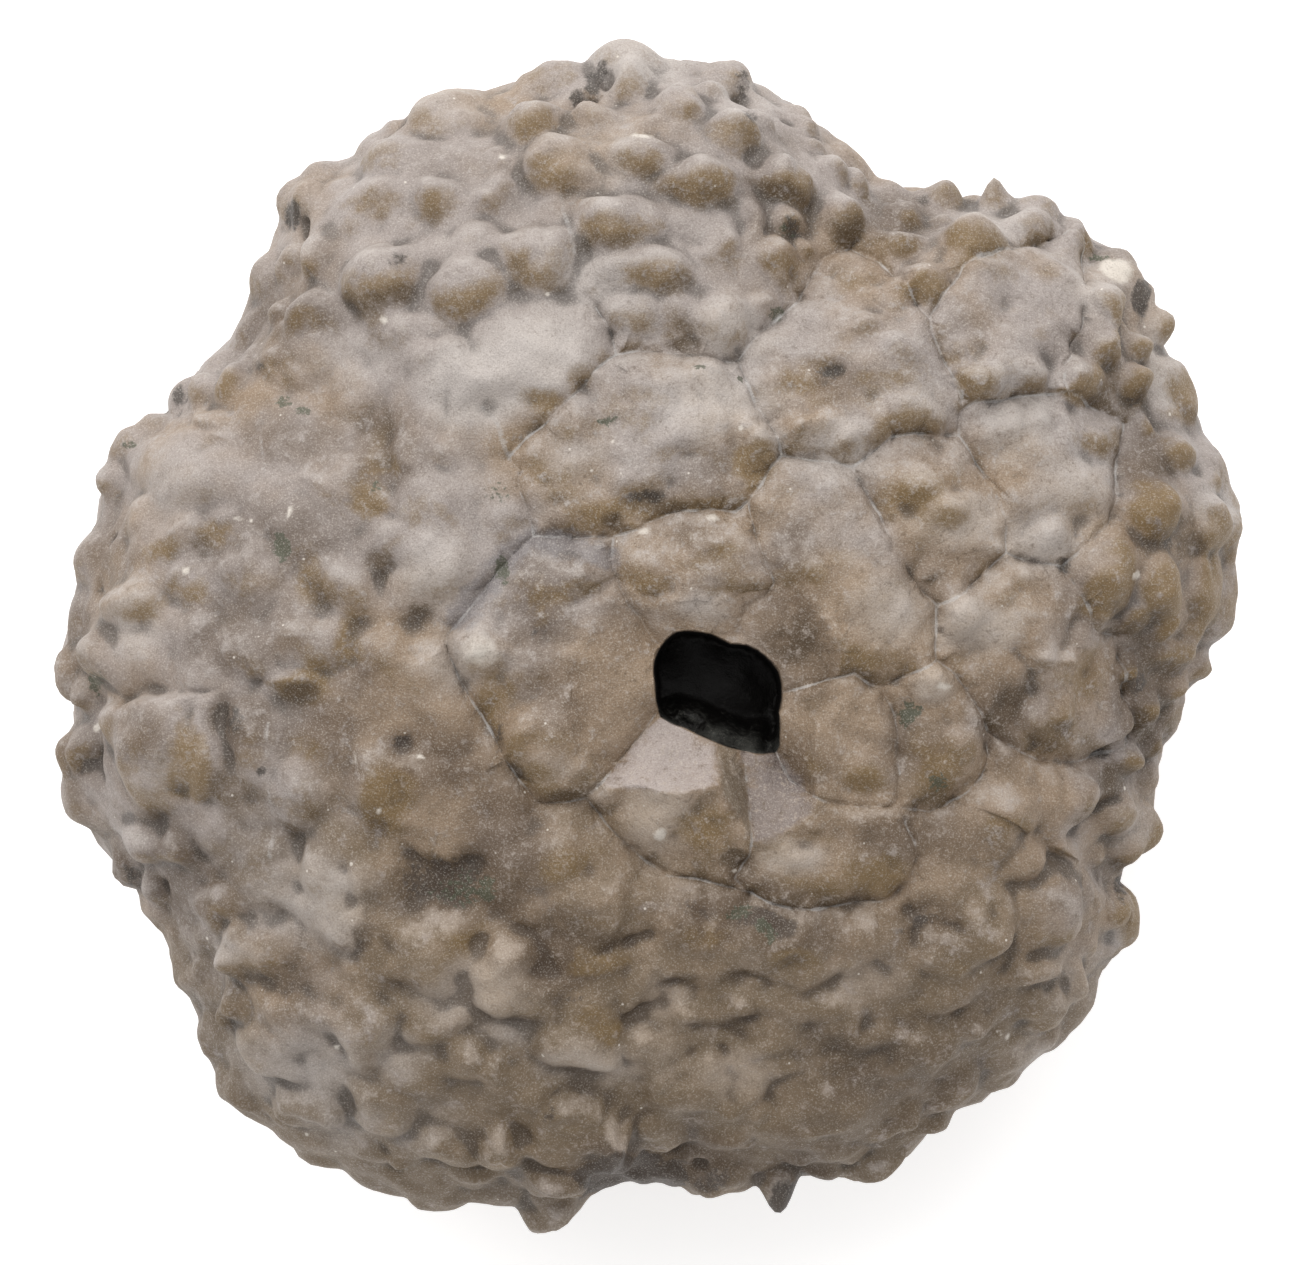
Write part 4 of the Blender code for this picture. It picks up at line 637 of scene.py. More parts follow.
SPINE_TIPS = ((10.35, 13.95, 0.60), (4.12, -17.6, 0.72))
RIM_INSET = 0.45            # mm that the stone between the rim's knobs lies further in
RIM_TIP_HEIGHT = RIM_HEIGHT + 0.7
print("knobs on the rim:", len(RIM_TIPS))

# %% Pits and slots: x, y, half width, half height, depth
PITS = (
    (-10.6, 12.6, 0.34, 0.7, 0.9), (2.85, 16.5, 0.34, 0.55, 0.7), (4.0, 15.3, 0.25, 0.25, 0.25),
    (14.8, 10.15, 0.42, 0.62, 1.2), (5.5, 7.75, 0.7, 0.36, 0.4), (6.8, 5.6, 0.26, 0.26, 0.22),
    (14.5, -1.6, 0.28, 0.28, 0.3), (10.7, -2.0, 1.0, 1.2, 0.35), (11.4, -3.3, 0.3, 0.25, 0.25),
    (13.4, -3.6, 0.55, 0.3, 0.4), (14.2, -7.6, 0.36, 0.45, 0.7), (11.7, -9.4, 0.95, 0.35, 0.28),
    (9.7, -10.9, 0.5, 0.45, 0.25), (8.1, -8.6, 1.1, 0.32, 0.34), (-0.9, -9.4, 1.0, 0.55, 0.45),
    (0.6, -10.4, 0.6, 0.25, 0.35), (2.9, -10.4, 0.75, 0.3, 0.15), (2.4, -12.6, 0.65, 0.3, 0.2),
    (5.2, -10.8, 0.25, 0.25, 0.12), (4.6, -10.7, 0.22, 0.22, 0.12), (0.8, -11.75, 0.3, 0.2, 0.15),
    (7.3, -15.7, 0.36, 0.36, 0.35), (1.0, -15.9, 1.2, 0.45, 0.6), (-6.0, -9.1, 0.33, 0.28, 0.12),
    (-8.5, -12.2, 0.38, 0.35, 0.15), (-3.1, -14.0, 0.4, 0.22, 0.35), (-15.5, -7.2, 0.3, 0.5, 0.65),
    (-14.4, -7.9, 0.32, 0.32, 0.4), (-13.7, -9.4, 0.28, 0.28, 0.35), (-13.4, -9.8, 0.24, 0.24, 0.3),
    (-11.8, -11.2, 0.28, 0.28, 0.28), (-9.9, -11.4, 0.28, 0.28, 0.28),
    (-12.6, -13.1, 0.36, 0.22, 0.35), (-10.9, -13.0, 0.3, 0.3, 0.3), (-12.2, -2.8, 0.5, 1.06, 0.25),
    (-16.6, -1.3, 0.5, 0.22, 0.3), (-16.8, -4.1, 0.42, 0.5, 0.7), (-16.4, 1.3, 0.4, 0.3, 0.28),
    (-16.2, 3.1, 0.28, 0.4, 0.4), (-14.7, 2.7, 0.4, 0.4, 0.15), (-12.4, 0.15, 0.62, 0.5, 0.19),
    (-13.5, 0.8, 0.5, 0.94, 0.15), (-10.8, 2.6, 0.4, 0.69, 0.19), (-12.6, -1.4, 0.33, 0.33, 0.12),
    (-15.35, 5.65, 0.4, 0.18, 0.35), (-14.1, 7.1, 0.26, 0.45, 0.55), (-12.9, 6.8, 0.44, 0.28, 0.14),
    (-7.8, 5.2, 0.69, 0.56, 0.19), (-8.0, 4.3, 0.38, 0.38, 0.13), (-11.3, 7.9, 0.62, 0.62, 0.19),
    (-2.1, 15.95, 0.34, 0.34, 0.6), (-1.75, 16.4, 0.34, 0.42, 0.9), (-1.4, 16.85, 0.28, 0.42, 0.8),
    (-7.3, -3.25, 0.5, 0.45, 0.45), (-5.9, -7.2, 1.95, 1.0, 0.34), (0.1, 4.2, 1.1, 0.45, 0.26),
    (-9.6, 1.1, 0.62, 1.12, 0.14), (-7.7, 1.6, 0.45, 1.0, 0.12), (-6.6, 0.4, 0.9, 0.4, 0.12),
    (-8.5, -0.1, 0.62, 0.88, 0.12), (-9.1, -1.4, 0.38, 0.38, 0.13), (-10.2, -6.1, 0.62, 0.5, 0.14),
    (-8.3, -8.6, 0.5, 1.25, 0.17), (-10.5, -9.2, 0.62, 0.81, 0.17), (-14.4, -3.5, 0.75, 0.75, 0.15),
    (-0.4, -7.6, 0.35, 0.35, 0.22), (-1.1, 6.4, 0.55, 0.3, 0.24), (-2.5, 3.8, 0.6, 0.4, 0.2),
    (1.1, 8.6, 0.7, 0.25, 0.24), (-3.4, 0.1, 0.36, 0.3, 0.16), (-2.2, 2.1, 0.45, 0.28, 0.18),
    (7.7, -2.4, 0.4, 0.6, 0.24), (2.6, -8.3, 0.55, 0.35, 0.2), (8.5, 1.3, 0.6, 0.6, 0.22),
)
print("pits:", len(PITS))

# %% [markdown]
# Ridges are drawn as lines with a rise and a half width, and their sides are straight, which
# gives the flat facets beside them. A ledge is a line with a drop on the right-hand side of
# the way it is drawn.

# %% Ridges: rise, half width, line
RIDGES = (
    (0.3, 0.7, ((3.1, -6.1), (4.2, -5.7), (5.1, -5.0))),
    (0.28, 0.6, ((-1.2, -4.5), (0.0, -4.4), (1.0, -4.55), (2.0, -4.35))),
    (0.2, 0.9, ((2.0, -3.4), (2.0, -4.35), (2.6, -5.2), (3.0, -6.0))),
    (0.2, 0.5, ((6.1, 7.6), (6.8, 7.95), (7.4, 7.6))),
    (0.25, 0.55, ((8.0, 2.9), (9.0, 2.5), (10.3, 2.5))),
    (0.25, 0.55, ((0.9, 9.5), (1.6, 8.8))),
    (0.22, 0.5, ((11.8, -4.2), (11.8, -5.8))),
    (0.28, 0.6, ((1.2, -14.0), (2.8, -13.4))),
    (0.3, 0.7, ((-5.2, -12.2), (-4.3, -13.2))),
    (0.26, 0.5, ((-13.0, -9.0), (-12.0, -8.6), (-11.1, -8.9), (-10.8, -9.6))),
    (0.3, 0.6, ((-2.6, -14.0), (-1.7, -13.8), (-0.8, -14.3))),
    (0.2, 0.45, ((-10.9, -2.8), (-10.9, -6.2))),
    (0.24, 0.5, ((-8.0, -3.6), (-8.3, -4.4), (-8.0, -5.0), (-7.2, -5.5))),
    (0.18, 0.4, ((-0.6, 14.6), (0.2, 14.9))),
    (0.22, 0.45, ((1.8, 6.9), (2.3, 6.0), (3.3, 5.7))),
    (0.25, 0.6, ((3.1, 6.4), (2.3, 7.3), (1.6, 7.6))),
    (0.3, 0.7, ((-4.7, 7.2), (-5.6, 7.9))),
    (0.5, 0.55, ((-3.0, -14.9), (-2.9, -14.1), (-2.0, -13.8), (-1.0, -14.3), (-0.7, -15.2))),
    (0.4, 0.5, ((-5.0, -15.0), (-4.2, -14.6), (-3.6, -15.1), (-3.9, -15.7), (-4.8, -15.8))),
    (0.45, 0.45, ((-3.3, -15.6), (-2.5, -15.4), (-2.1, -16.0), (-2.5, -16.6), (-3.3, -17.0))),
    (0.35, 0.5, ((-7.2, -15.4), (-6.5, -14.6), (-5.6, -14.8))),
    (0.35, 0.6, ((-11.0, -14.3), (-10.2, -14.0), (-9.5, -14.4))),
    (0.3, 0.5, ((-7.0, -8.7), (-5.6, -8.4), (-4.4, -8.8), (-3.4, -10.0), (-3.0, -11.2))),
    (0.3, 0.45, ((-5.4, -12.0), (-4.6, -12.4), (-4.2, -13.2))),
    (0.28, 0.5, ((-9.9, -10.6), (-9.0, -11.2), (-8.4, -12.2))),
    (0.28, 0.4, ((-2.1, -10.6), (-0.6, -10.5), (0.4, -9.9), (1.8, -9.9), (3.5, -10.3))),
    (0.22, 0.35, ((-0.1, -11.0), (-0.3, -12.2), (0.6, -13.4))),
    (0.3, 0.45, ((-9.6, -6.4), (-9.0, -7.4), (-8.6, -8.8), (-8.6, -9.8))),
    (0.26, 0.4, ((2.4, -13.6), (3.2, -13.0), (4.3, -12.75), (5.3, -12.9))),
    (0.25, 0.4, ((7.9, -9.4), (9.2, -9.7), (9.9, -9.2), (10.3, -8.4))),
    (0.22, 0.35, ((1.2, -12.3), (2.2, -12.0), (3.1, -12.3), (4.2, -12.2))),
    (0.22, 0.35, ((5.8, -11.6), (6.9, -11.3), (7.8, -11.6))),
)
print("ridges:", len(RIDGES))

# %% Ledges: drop, reach of the slope below, line
LEDGES = (
    (0.55, 1.1, ((10.3, -7.6), (11.0, -7.2), (11.7, -6.6), (12.3, -5.9), (13.0, -5.5), (13.6, -4.9),
                 (14.1, -4.6))),
    (0.35, 0.7, ((9.9, -7.6), (10.3, -8.2), (10.8, -9.0), (10.3, -9.8), (9.6, -10.2))),
    (0.35, 0.9, ((-1.0, -10.9), (0.0, -10.7), (0.9, -10.2))),
    (0.45, 1.0, ((0.0, -10.1), (1.5, -9.7), (3.0, -9.9), (4.5, -10.2), (6.0, -9.9), (6.8, -9.4))),
    (0.3, 0.8, ((1.0, -11.6), (1.9, -11.6), (2.6, -11.2), (3.4, -11.4))),
    (0.35, 0.9, ((3.0, -13.5), (4.0, -12.9), (5.0, -12.7), (6.0, -13.0))),
    (0.35, 0.9, ((-5.5, -10.8), (-4.4, -11.3), (-3.4, -11.6))),
    (0.4, 0.9, ((-4.8, -7.6), (-3.8, -8.6), (-3.0, -9.3), (-2.3, -9.7))),
    (0.5, 0.8, ((-12.9, -2.0), (-12.8, -3.2), (-13.0, -4.2), (-13.4, -5.0))),
    (0.35, 0.8, ((-8.6, -6.4), (-8.2, -7.6), (-8.1, -8.8), (-8.6, -9.8))),
    (0.35, 0.7, ((-7.4, -6.3), (-6.0, -6.6), (-4.6, -6.7))),
)
print("ledges:", len(LEDGES))

# %% Helpers that turn a row into a height
PLATE_CROWN = 0.45          # mm that a plate's middle stands above its seams
BEND = 0.26                 # mm that noise shifts a knob's foot
BEND_SCALE = 1.3            # mm over which it does
FINE_BEND = 0.35            # a finer shift, as a share of that one
FINE_BEND_SCALE = 0.5
SOUTH_BEND = 1.2            # how much more both shift in the south
SOUTH_FROM = -6.0           # mm, where the south begins, and over what distance
SOUTH_OVER = 3.0
SKIRT_REACH = 1.7           # reach of a mound's skirt, in its own half sizes
SLOPE_STEP = 0.01           # share of the radius over which the dome's slope is measured
FOOT_SHIFT = 0.7            # share of a knob's lean that its foot makes up for
LEAST_TIP_RISE = 0.15
LEDGE_MARGIN = 3.0          # reaches of a ledge beyond which it has no effect
LEDGE_STEP = 0.25           # mm across which the drop begins
LEDGE_TAPER = 0.5           # mm at each end over which the drop fades
NOISE_START = 7

noise.seed_set(NOISE_START)  # gives the same stone at each run


def noise_field(points, scale, seed=0.0):
    """Smooth noise from -1 to 1 at each point, with features about one scale wide."""
    shift = Vector((seed, 2.3 * seed, -1.7 * seed))
    return np.array([noise.noise(Vector(point) / scale + shift) for point in points])


def bend_places(points):
    """Shift each place by noise, and further in the south, where the forms are less round."""
    shift = np.array([noise.noise_vector(Vector(point) / BEND_SCALE) for point in points])
    fine = np.array([noise.noise_vector(Vector(point) / FINE_BEND_SCALE) for point in points])
    south = smooth_step((SOUTH_FROM - points[:, 1]) / SOUTH_OVER)
    amount = BEND * (1.0 + SOUTH_BEND * south)[:, None]
    return points + amount * (shift + FINE_BEND * fine)


def foot_below(x, y, rise):
    """Where a knob starts on the slope, so that its top ends over the place named."""
    radius = math.hypot(x, y)
    inner = 1.0 - SLOPE_STEP
    drop = dome_height(x * inner, y * inner) - dome_height(x, y)
    slope = drop / max(SLOPE_STEP * radius, SLOPE_STEP)
    inward = 1.0 - FOOT_SHIFT * rise * slope / math.sqrt(1.0 + slope ** 2) / max(radius, 1.0)
    return x * inward, y * inward


def add_mound(target, points, middle, half_sizes, rise, exponent, skirt=0.0):
    """Work one mound, with a share of it as a wide skirt, into a height field."""
    reach = np.array((*half_sizes, max(half_sizes)))
    close = near(points, middle, middle, SKIRT_REACH * reach[2])
    share = (((points[close] - middle) / reach) ** 2).sum(axis=1)
    height = (1.0 - skirt) * np.clip(1.0 - share, 0.0, 1.0) ** exponent
    height += skirt * np.clip(1.0 - np.sqrt(share) / SKIRT_REACH, 0.0, 1.0)
    target[close] = np.maximum(target[close], rise * height)


def add_mounds(target, points, rows, exponent, skirt=0.0):
    """Work rows of x, y, half width, half height and rise into a height field."""
    for x, y, half_x, half_y, rise in rows:
        foot = foot_below(x, y, rise)
        middle = np.array((*foot, float(dome_height(*foot))))
        add_mound(target, points, middle, (half_x, half_y), rise, exponent, skirt)


def add_rim_tips(target, points, tips, exponent, skirt=0.0):
    """Work in the knobs whose tips make the outline: each rises from the rim to its tip."""
    for x, y, half in tips:
        gaps = np.hypot(outline[:, 0] - x, outline[:, 1] - y)
        foot = outline[gaps.argmin()]
        outside = math.hypot(x, y) > math.hypot(*foot)
        rise = gaps.min() * (1.0 if outside else -1.0) + RIM_INSET - PLATE_CROWN
        rise = max(rise, LEAST_TIP_RISE)
        middle = np.array((*foot, RIM_TIP_HEIGHT))
        add_mound(target, points, middle, (half, half), rise, exponent, skirt)


def add_ridges(target, points):
    """Raise the ground along each ridge, with straight sides."""
    for rise, half_width, line in RIDGES:
        distance, _ = nearest_on_lines(points, (line,), half_width)
        target += rise * np.clip(1.0 - distance / half_width, 0.0, 1.0)


def add_ledges(target, points):
    """Lower the ground on the right of each ledge, and let it climb back further off."""
    for drop, reach, line in LEDGES:
        margin = LEDGE_MARGIN * reach
        distance = np.full(len(points), margin)
        side = np.zeros(len(points))
        taper = np.zeros(len(points))
        path = segments_on_dome(line)
        lengths = [np.linalg.norm(end - start) for start, end in path]
        travelled = 0.0
        for (start, end), length in zip(path, lengths):
            close = near(points, start, end, margin)
            run = (end - start) / length
            offset = points[close] - start
            along = np.clip(offset @ run, 0.0, length)
            gap = np.linalg.norm(offset - along[:, None] * run, axis=1)
            better = gap < distance[close]
            picked = close[better]
            distance[picked] = gap[better]
            turn = offset[better, 1] * run[0] - offset[better, 0] * run[1]
            side[picked] = smooth_step(0.5 - turn / LEDGE_STEP)
            covered = travelled + along[better]
            to_end = np.minimum(covered, sum(lengths) - covered)
            taper[picked] = smooth_step(to_end / LEDGE_TAPER)
            travelled += length
        target -= drop * side * taper * np.exp(-distance / reach)


KNOB_UNEVENNESS = 0.22      # share of a knob's rise that noise adds or takes
PIT_RAGGEDNESS = 1.4        # how much further a pit's edge is bent than a knob's foot

knob_places = bend_places(body)
knobs = np.zeros(len(body))
add_mounds(knobs, knob_places, ALL_KNOBS, exponent=0.82, skirt=0.18)
knobs *= 1.0 + KNOB_UNEVENNESS * noise_field(body, 0.6, seed=11.0)
add_rim_tips(knobs, knob_places, RIM_TIPS, exponent=0.65, skirt=0.15)
add_rim_tips(knobs, body, SPINE_TIPS, exponent=1.4)
pits = np.zeros(len(body))
ragged_places = knob_places + PIT_RAGGEDNESS * (knob_places - body)
add_mounds(pits, ragged_places, PITS, exponent=1.3, skirt=0.3)
lines = np.zeros(len(body))
add_ridges(lines, knob_places)
add_ledges(lines, knob_places)
print("highest knob:", round(knobs.max(), 2), "mm; deepest pit:", round(pits.max(), 2), "mm")

# %% [markdown]
# Between crest and edge the funnel's depth grows in a straight line, which makes flat faces.
# Inside the edge the stone drops away into the dark. Each outline below is a stretch of stone
# that a finish or a roughness is kept to.

# %% Depth of the funnel and of the opening
OPENING_DEPTH = 4.6
OPENING_WALL = 0.16         # run of the opening's wall, seen from above
OPENING_RIM = 0.02          # width of the edge itself, which stays up
SILT_SLOPE = ((0.9, -2.9), (2.4, -3.5), (4.1, -3.7))    # the floor climbs towards this side
SILT_REACH = 1.1
SILT_HEIGHT = 0.6           # share of the opening's depth that full silt takes up
FUNNEL_DEPTH = 0.80
FUNNEL_REACH = 6.0          # mm within which edge and crest are measured
NORTH_FUNNEL_CURVE = 1.5    # above 1 keeps the northern faces high for longer, 1 is straight
NORTH_FUNNEL_SHARE = 0.5    # share of the funnel's depth that they have
# lighter grey face, partly painted light, as it faces the window
LILAC_LIT_FACET = (
    (0.35, -2.5), (2.05, -3.3), (2.1, -4.35), (1.6, -4.55), (0.8, -4.65), (0.0, -4.5), (-1.3, -4.6),
    (-1.1, -4.1),
)
OLIVE_FACET = (
    (2.05, -3.3), (2.75, -3.55), (3.0, -4.2), (3.05, -6.0), (2.7, -5.7), (2.3, -5.0), (2.1, -4.35),
)
MAUVE_FACET = (
    (2.75, -3.55), (4.05, -3.6), (4.5, -4.3), (5.3, -5.1), (4.4, -5.5), (3.8, -5.9), (3.1, -6.1),
    (3.0, -4.2),
)
PLATED = (
    (-5.9, -0.1), (-3.8, 2.9), (-4.1, 5.2), (-0.9, 8.25), (2.7, 8.1), (5.3, 11.2), (8.4, 9.2),
    (10.2, 11.0), (12.6, 12.0), (13.2, 11.0), (12.2, 7.1), (14.3, 6.3), (13.9, 4.0), (12.3, 2.0),
    (14.0, -0.1), (14.5, -2.9), (11.6, -3.75), (10.1, -4.0), (8.4, -5.3), (7.9, -7.4), (5.2, -8.15),
    (2.9, -7.6), (0.0, -6.8), (-1.8, -4.8), (-3.2, -5.0), (-5.5, -1.4),
)


def inside_loop(points, loop):
    """True where a point is inside a closed outline, seen from above."""
    inside = np.zeros(len(points), dtype=bool)
    for (x0, y0), (x1, y1) in zip(loop, np.roll(loop, -1, axis=0)):
        if y0 == y1:
            continue
        crosses = (y0 > points[:, 1]) != (y1 > points[:, 1])
        inside ^= crosses & (points[:, 0] < x0 + (points[:, 1] - y0) * (x1 - x0) / (y1 - y0))
    return inside


to_edge = nearest_on_lines(body, (opening_line,), FUNNEL_REACH)[0]
to_crest = nearest_on_lines(body, (crest_line,), FUNNEL_REACH)[0]
in_opening = inside_loop(body, opening_line[:-1]) & (to_edge > OPENING_RIM) & upper
in_funnel = inside_loop(body, CREST) & upper
funnel = np.where(in_funnel & ~in_opening, to_crest / (to_crest + to_edge), 0.0)
funnel[in_opening] = 1.0
southern = smooth_step(-0.8 - body[:, 1] / 2.0)
funnel = funnel ** (NORTH_FUNNEL_CURVE + (1.0 - NORTH_FUNNEL_CURVE) * southern)
funnel *= NORTH_FUNNEL_SHARE + (1.0 - NORTH_FUNNEL_SHARE) * southern
shaft = np.where(in_opening, smooth_step(to_edge / OPENING_WALL), 0.0)
print("points in the opening:", int(in_opening.sum()), "in the funnel:", int(in_funnel.sum()))

# %% [markdown]
# ## The cup
# The cup lies hidden below. Its plates are the cells round a few rings of centres, as on any
# calyx of this kind, each with a low node. Five nodes are worn flat, where it rests, and a
# round scar with a small canal marks where the stem was.

# %% Plates of the cup
RAY_AZIMUTHS = (110.0, 38.0, -34.0, -106.0, 178.0)      # the five lobes, in degrees
FOOT_RADIUS = 7.4           # mm from the middle to a worn node, one on each ray
FOOT_SIZE = 2.8
FOOT_RISE = 0.85
CUP_RINGS = (               # plates in a ring, its radius in mm, the first one's azimuth
    (3, 3.1, 50.0), (5, FOOT_RADIUS, 38.0), (10, 10.6, 20.0), (15, 13.4, 8.0), (20, 15.6, 2.0),
)
CUP_NODE_SIZE = 1.5
CUP_NODE_RISE = 0.45
STEM_SCAR_RADIUS = 1.9
SCAR_MARGIN = 0.8           # mm round the scar over which the plates begin
SCAR_RIM_RISE = 0.35        # height and width of the ring round the scar
SCAR_RIM_WIDTH = 0.35
LUMEN_RADIUS = 0.55         # the canal in the middle of the scar
LUMEN_DEPTH = 0.7
PLATE_SHOULDER = 0.9        # mm over which a plate rises from its seam
SEAM_DEPTH = 0.11
SEAM_WIDTH = 0.13


def cushion(distance):
    """Height of a plate at a distance from its seam, with the seam's groove."""
    crown = PLATE_CROWN * (1.0 - np.exp(-distance / PLATE_SHOULDER))
    return crown - SEAM_DEPTH * np.exp(-(distance / SEAM_WIDTH) ** 2)


def cup_plate_sites():
    """Centres of the cup's plates, ring by ring."""
    sites = []
    for count, radius, first in CUP_RINGS:
        for step in range(count):
            angle = math.radians(first + 360.0 * step / count)
            height = float(cup_height(min(radius / CUP_RADIUS, 1.0)))
            sites.append((radius * math.cos(angle), radius * math.sin(angle), height))
    return np.array(sites)


def cup_relief(points):
    """Plates with a node each, five feet, and the stem scar with its canal."""
    gaps = np.linalg.norm(points[:, None, :] - cup_plate_sites()[None, :, :], axis=2)
    gaps.sort(axis=1)
    relief = cushion((gaps[:, 1] - gaps[:, 0]) / 2.0)
    relief += CUP_NODE_RISE * np.clip(1.0 - (gaps[:, 0] / CUP_NODE_SIZE) ** 2, 0.0, 1.0)
    radius = np.hypot(points[:, 0], points[:, 1])
    relief *= smooth_step((radius - STEM_SCAR_RADIUS) / SCAR_MARGIN)
    for azimuth in RAY_AZIMUTHS:
        angle = math.radians(azimuth)
        foot = np.array((FOOT_RADIUS * math.cos(angle), FOOT_RADIUS * math.sin(angle)))
        away = np.linalg.norm(points[:, :2] - foot, axis=1) / FOOT_SIZE
        relief += FOOT_RISE * np.clip(1.0 - away ** 2, 0.0, 1.0)
    relief += SCAR_RIM_RISE * np.exp(-((radius - STEM_SCAR_RADIUS) / SCAR_RIM_WIDTH) ** 2)
    relief -= LUMEN_DEPTH * np.clip(1.0 - (radius / LUMEN_RADIUS) ** 2, 0.0, 1.0)
    return relief


below = ~upper
cup = np.zeros(len(body))
cup[below] = cup_relief(body[below])
print("points on the cup:", int(below.sum()))

# %% [markdown]
# ## Put the relief on the body
# All heights add up to one number for each point, and the point moves by it along the
# body's own normal. A few rounds of averaging with the neighbours take the computer's edge
# off the creases. The same averaging, done for longer, gives a smooth version to compare with:
# what lies below it is a hollow and what lies above it is a knob, which the stone's colours
# follow later.

# %% Add the parts up and smooth them
FAINT_DEPTH, FAINT_WIDTH = 0.05, 0.12
RIM_BAND = (0.86, 0.12)     # share of the rim's radius where the band begins, and its width
RIM_BAND_BELOW = 2.5        # mm below the rim over which it ends
CUP_BLEND = 2.0             # mm below the rim over which the dome's relief gives way
COARSE_LUMPS = (0.36, 0.16)     # mm in all places, and what the clean plates have more
FINE_LUMPS = (0.14, 0.04)
FACET_CALM = (0.8, 0.7)     # share of the lumps that the facets lose, mm from the crest
# noise: height in mm, scale in mm, seed
SWELLS = ((0.26, 2.6, 0.0), (0.10, 1.2, 0.0))
ROUGHNESS = ((0.10, 1.0, 8.0), (0.09, 0.5, 4.0), (0.05, 0.28, 9.0))
CREASE_ROUNDS, FINE_ROUNDS, BROAD_ROUNDS = 2, 8, 60     # rounds of averaging

edge_ends = np.array([[vertex.index for vertex in edge.verts] for edge in calyx_bm.edges])
starts, ends = edge_ends.T
neighbours = np.bincount(edge_ends.ravel(), minlength=len(body))


def averaged(values, rounds, share=1.0):
    """Move each value to its neighbours' mean, or a share of the way, so many times."""
    result = values.copy()
    for _ in range(rounds):
        total = np.bincount(starts, weights=result[ends], minlength=len(result))
        total += np.bincount(ends, weights=result[starts], minlength=len(result))
        result += share * (total / neighbours - result)
    return result


def noise_sum(points, layers):
    return sum(height * noise_field(points, scale, seed) for height, scale, seed in layers)


dome = cushion(seam_distance) - FAINT_DEPTH * np.exp(-(faint_distance / FAINT_WIDTH) ** 2)
over_rim = body[:, 2] - RIM_HEIGHT
rim_band = np.where(upper, smooth_step((rim_share - RIM_BAND[0]) / RIM_BAND[1]),
                    smooth_step(over_rim / RIM_BAND_BELOW + 1.0))
dome += knobs - pits + lines - FUNNEL_DEPTH * funnel - RIM_INSET * rim_band
plated = averaged((inside_loop(body, PLATED) & upper).astype(float), 12)
lumps = (COARSE_LUMPS[0] + COARSE_LUMPS[1] * plated) * np.abs(noise_field(knob_places, 1.6, 3.0))
lumps += (FINE_LUMPS[0] + FINE_LUMPS[1] * plated) * np.abs(noise_field(knob_places, 0.8, 5.0))
calm = FACET_CALM[0] * smooth_step(to_crest / FACET_CALM[1])
dome += lumps * np.where(in_funnel, 1.0 - calm, 1.0)
blend = np.where(upper, 1.0, smooth_step(over_rim / CUP_BLEND + 1.0))
relief = blend * dome + (1.0 - blend) * cup
relief += noise_sum(body, SWELLS)
relief += noise_sum(body, ROUGHNESS) * (0.5 + 0.5 * plated) * (1.0 - 0.7 * funnel)

relief = averaged(relief, CREASE_ROUNDS, 0.5)
fine_hollow = averaged(relief, FINE_ROUNDS) - relief
broad_hollow_shade = averaged(relief, BROAD_ROUNDS) - relief
surface = body + body_normals * relief[:, None]
silt = 1.0 - nearest_on_lines(body, (SILT_SLOPE,), SILT_REACH)[0] / SILT_REACH
silt = silt * np.clip(0.9 + 1.2 * noise_field(body, 0.7, 3.0), 0.3, 1.3)
surface[:, 2] -= OPENING_DEPTH * shaft * (1.0 - SILT_HEIGHT * silt)
surface[:, 2] = np.maximum(surface[:, 2], 0.0)
move_points(calyx_bm, surface * MM)
surface_normals = point_normals(calyx_bm)
print("relief from", round(relief.min(), 2), "to", round(relief.max(), 2), "mm")
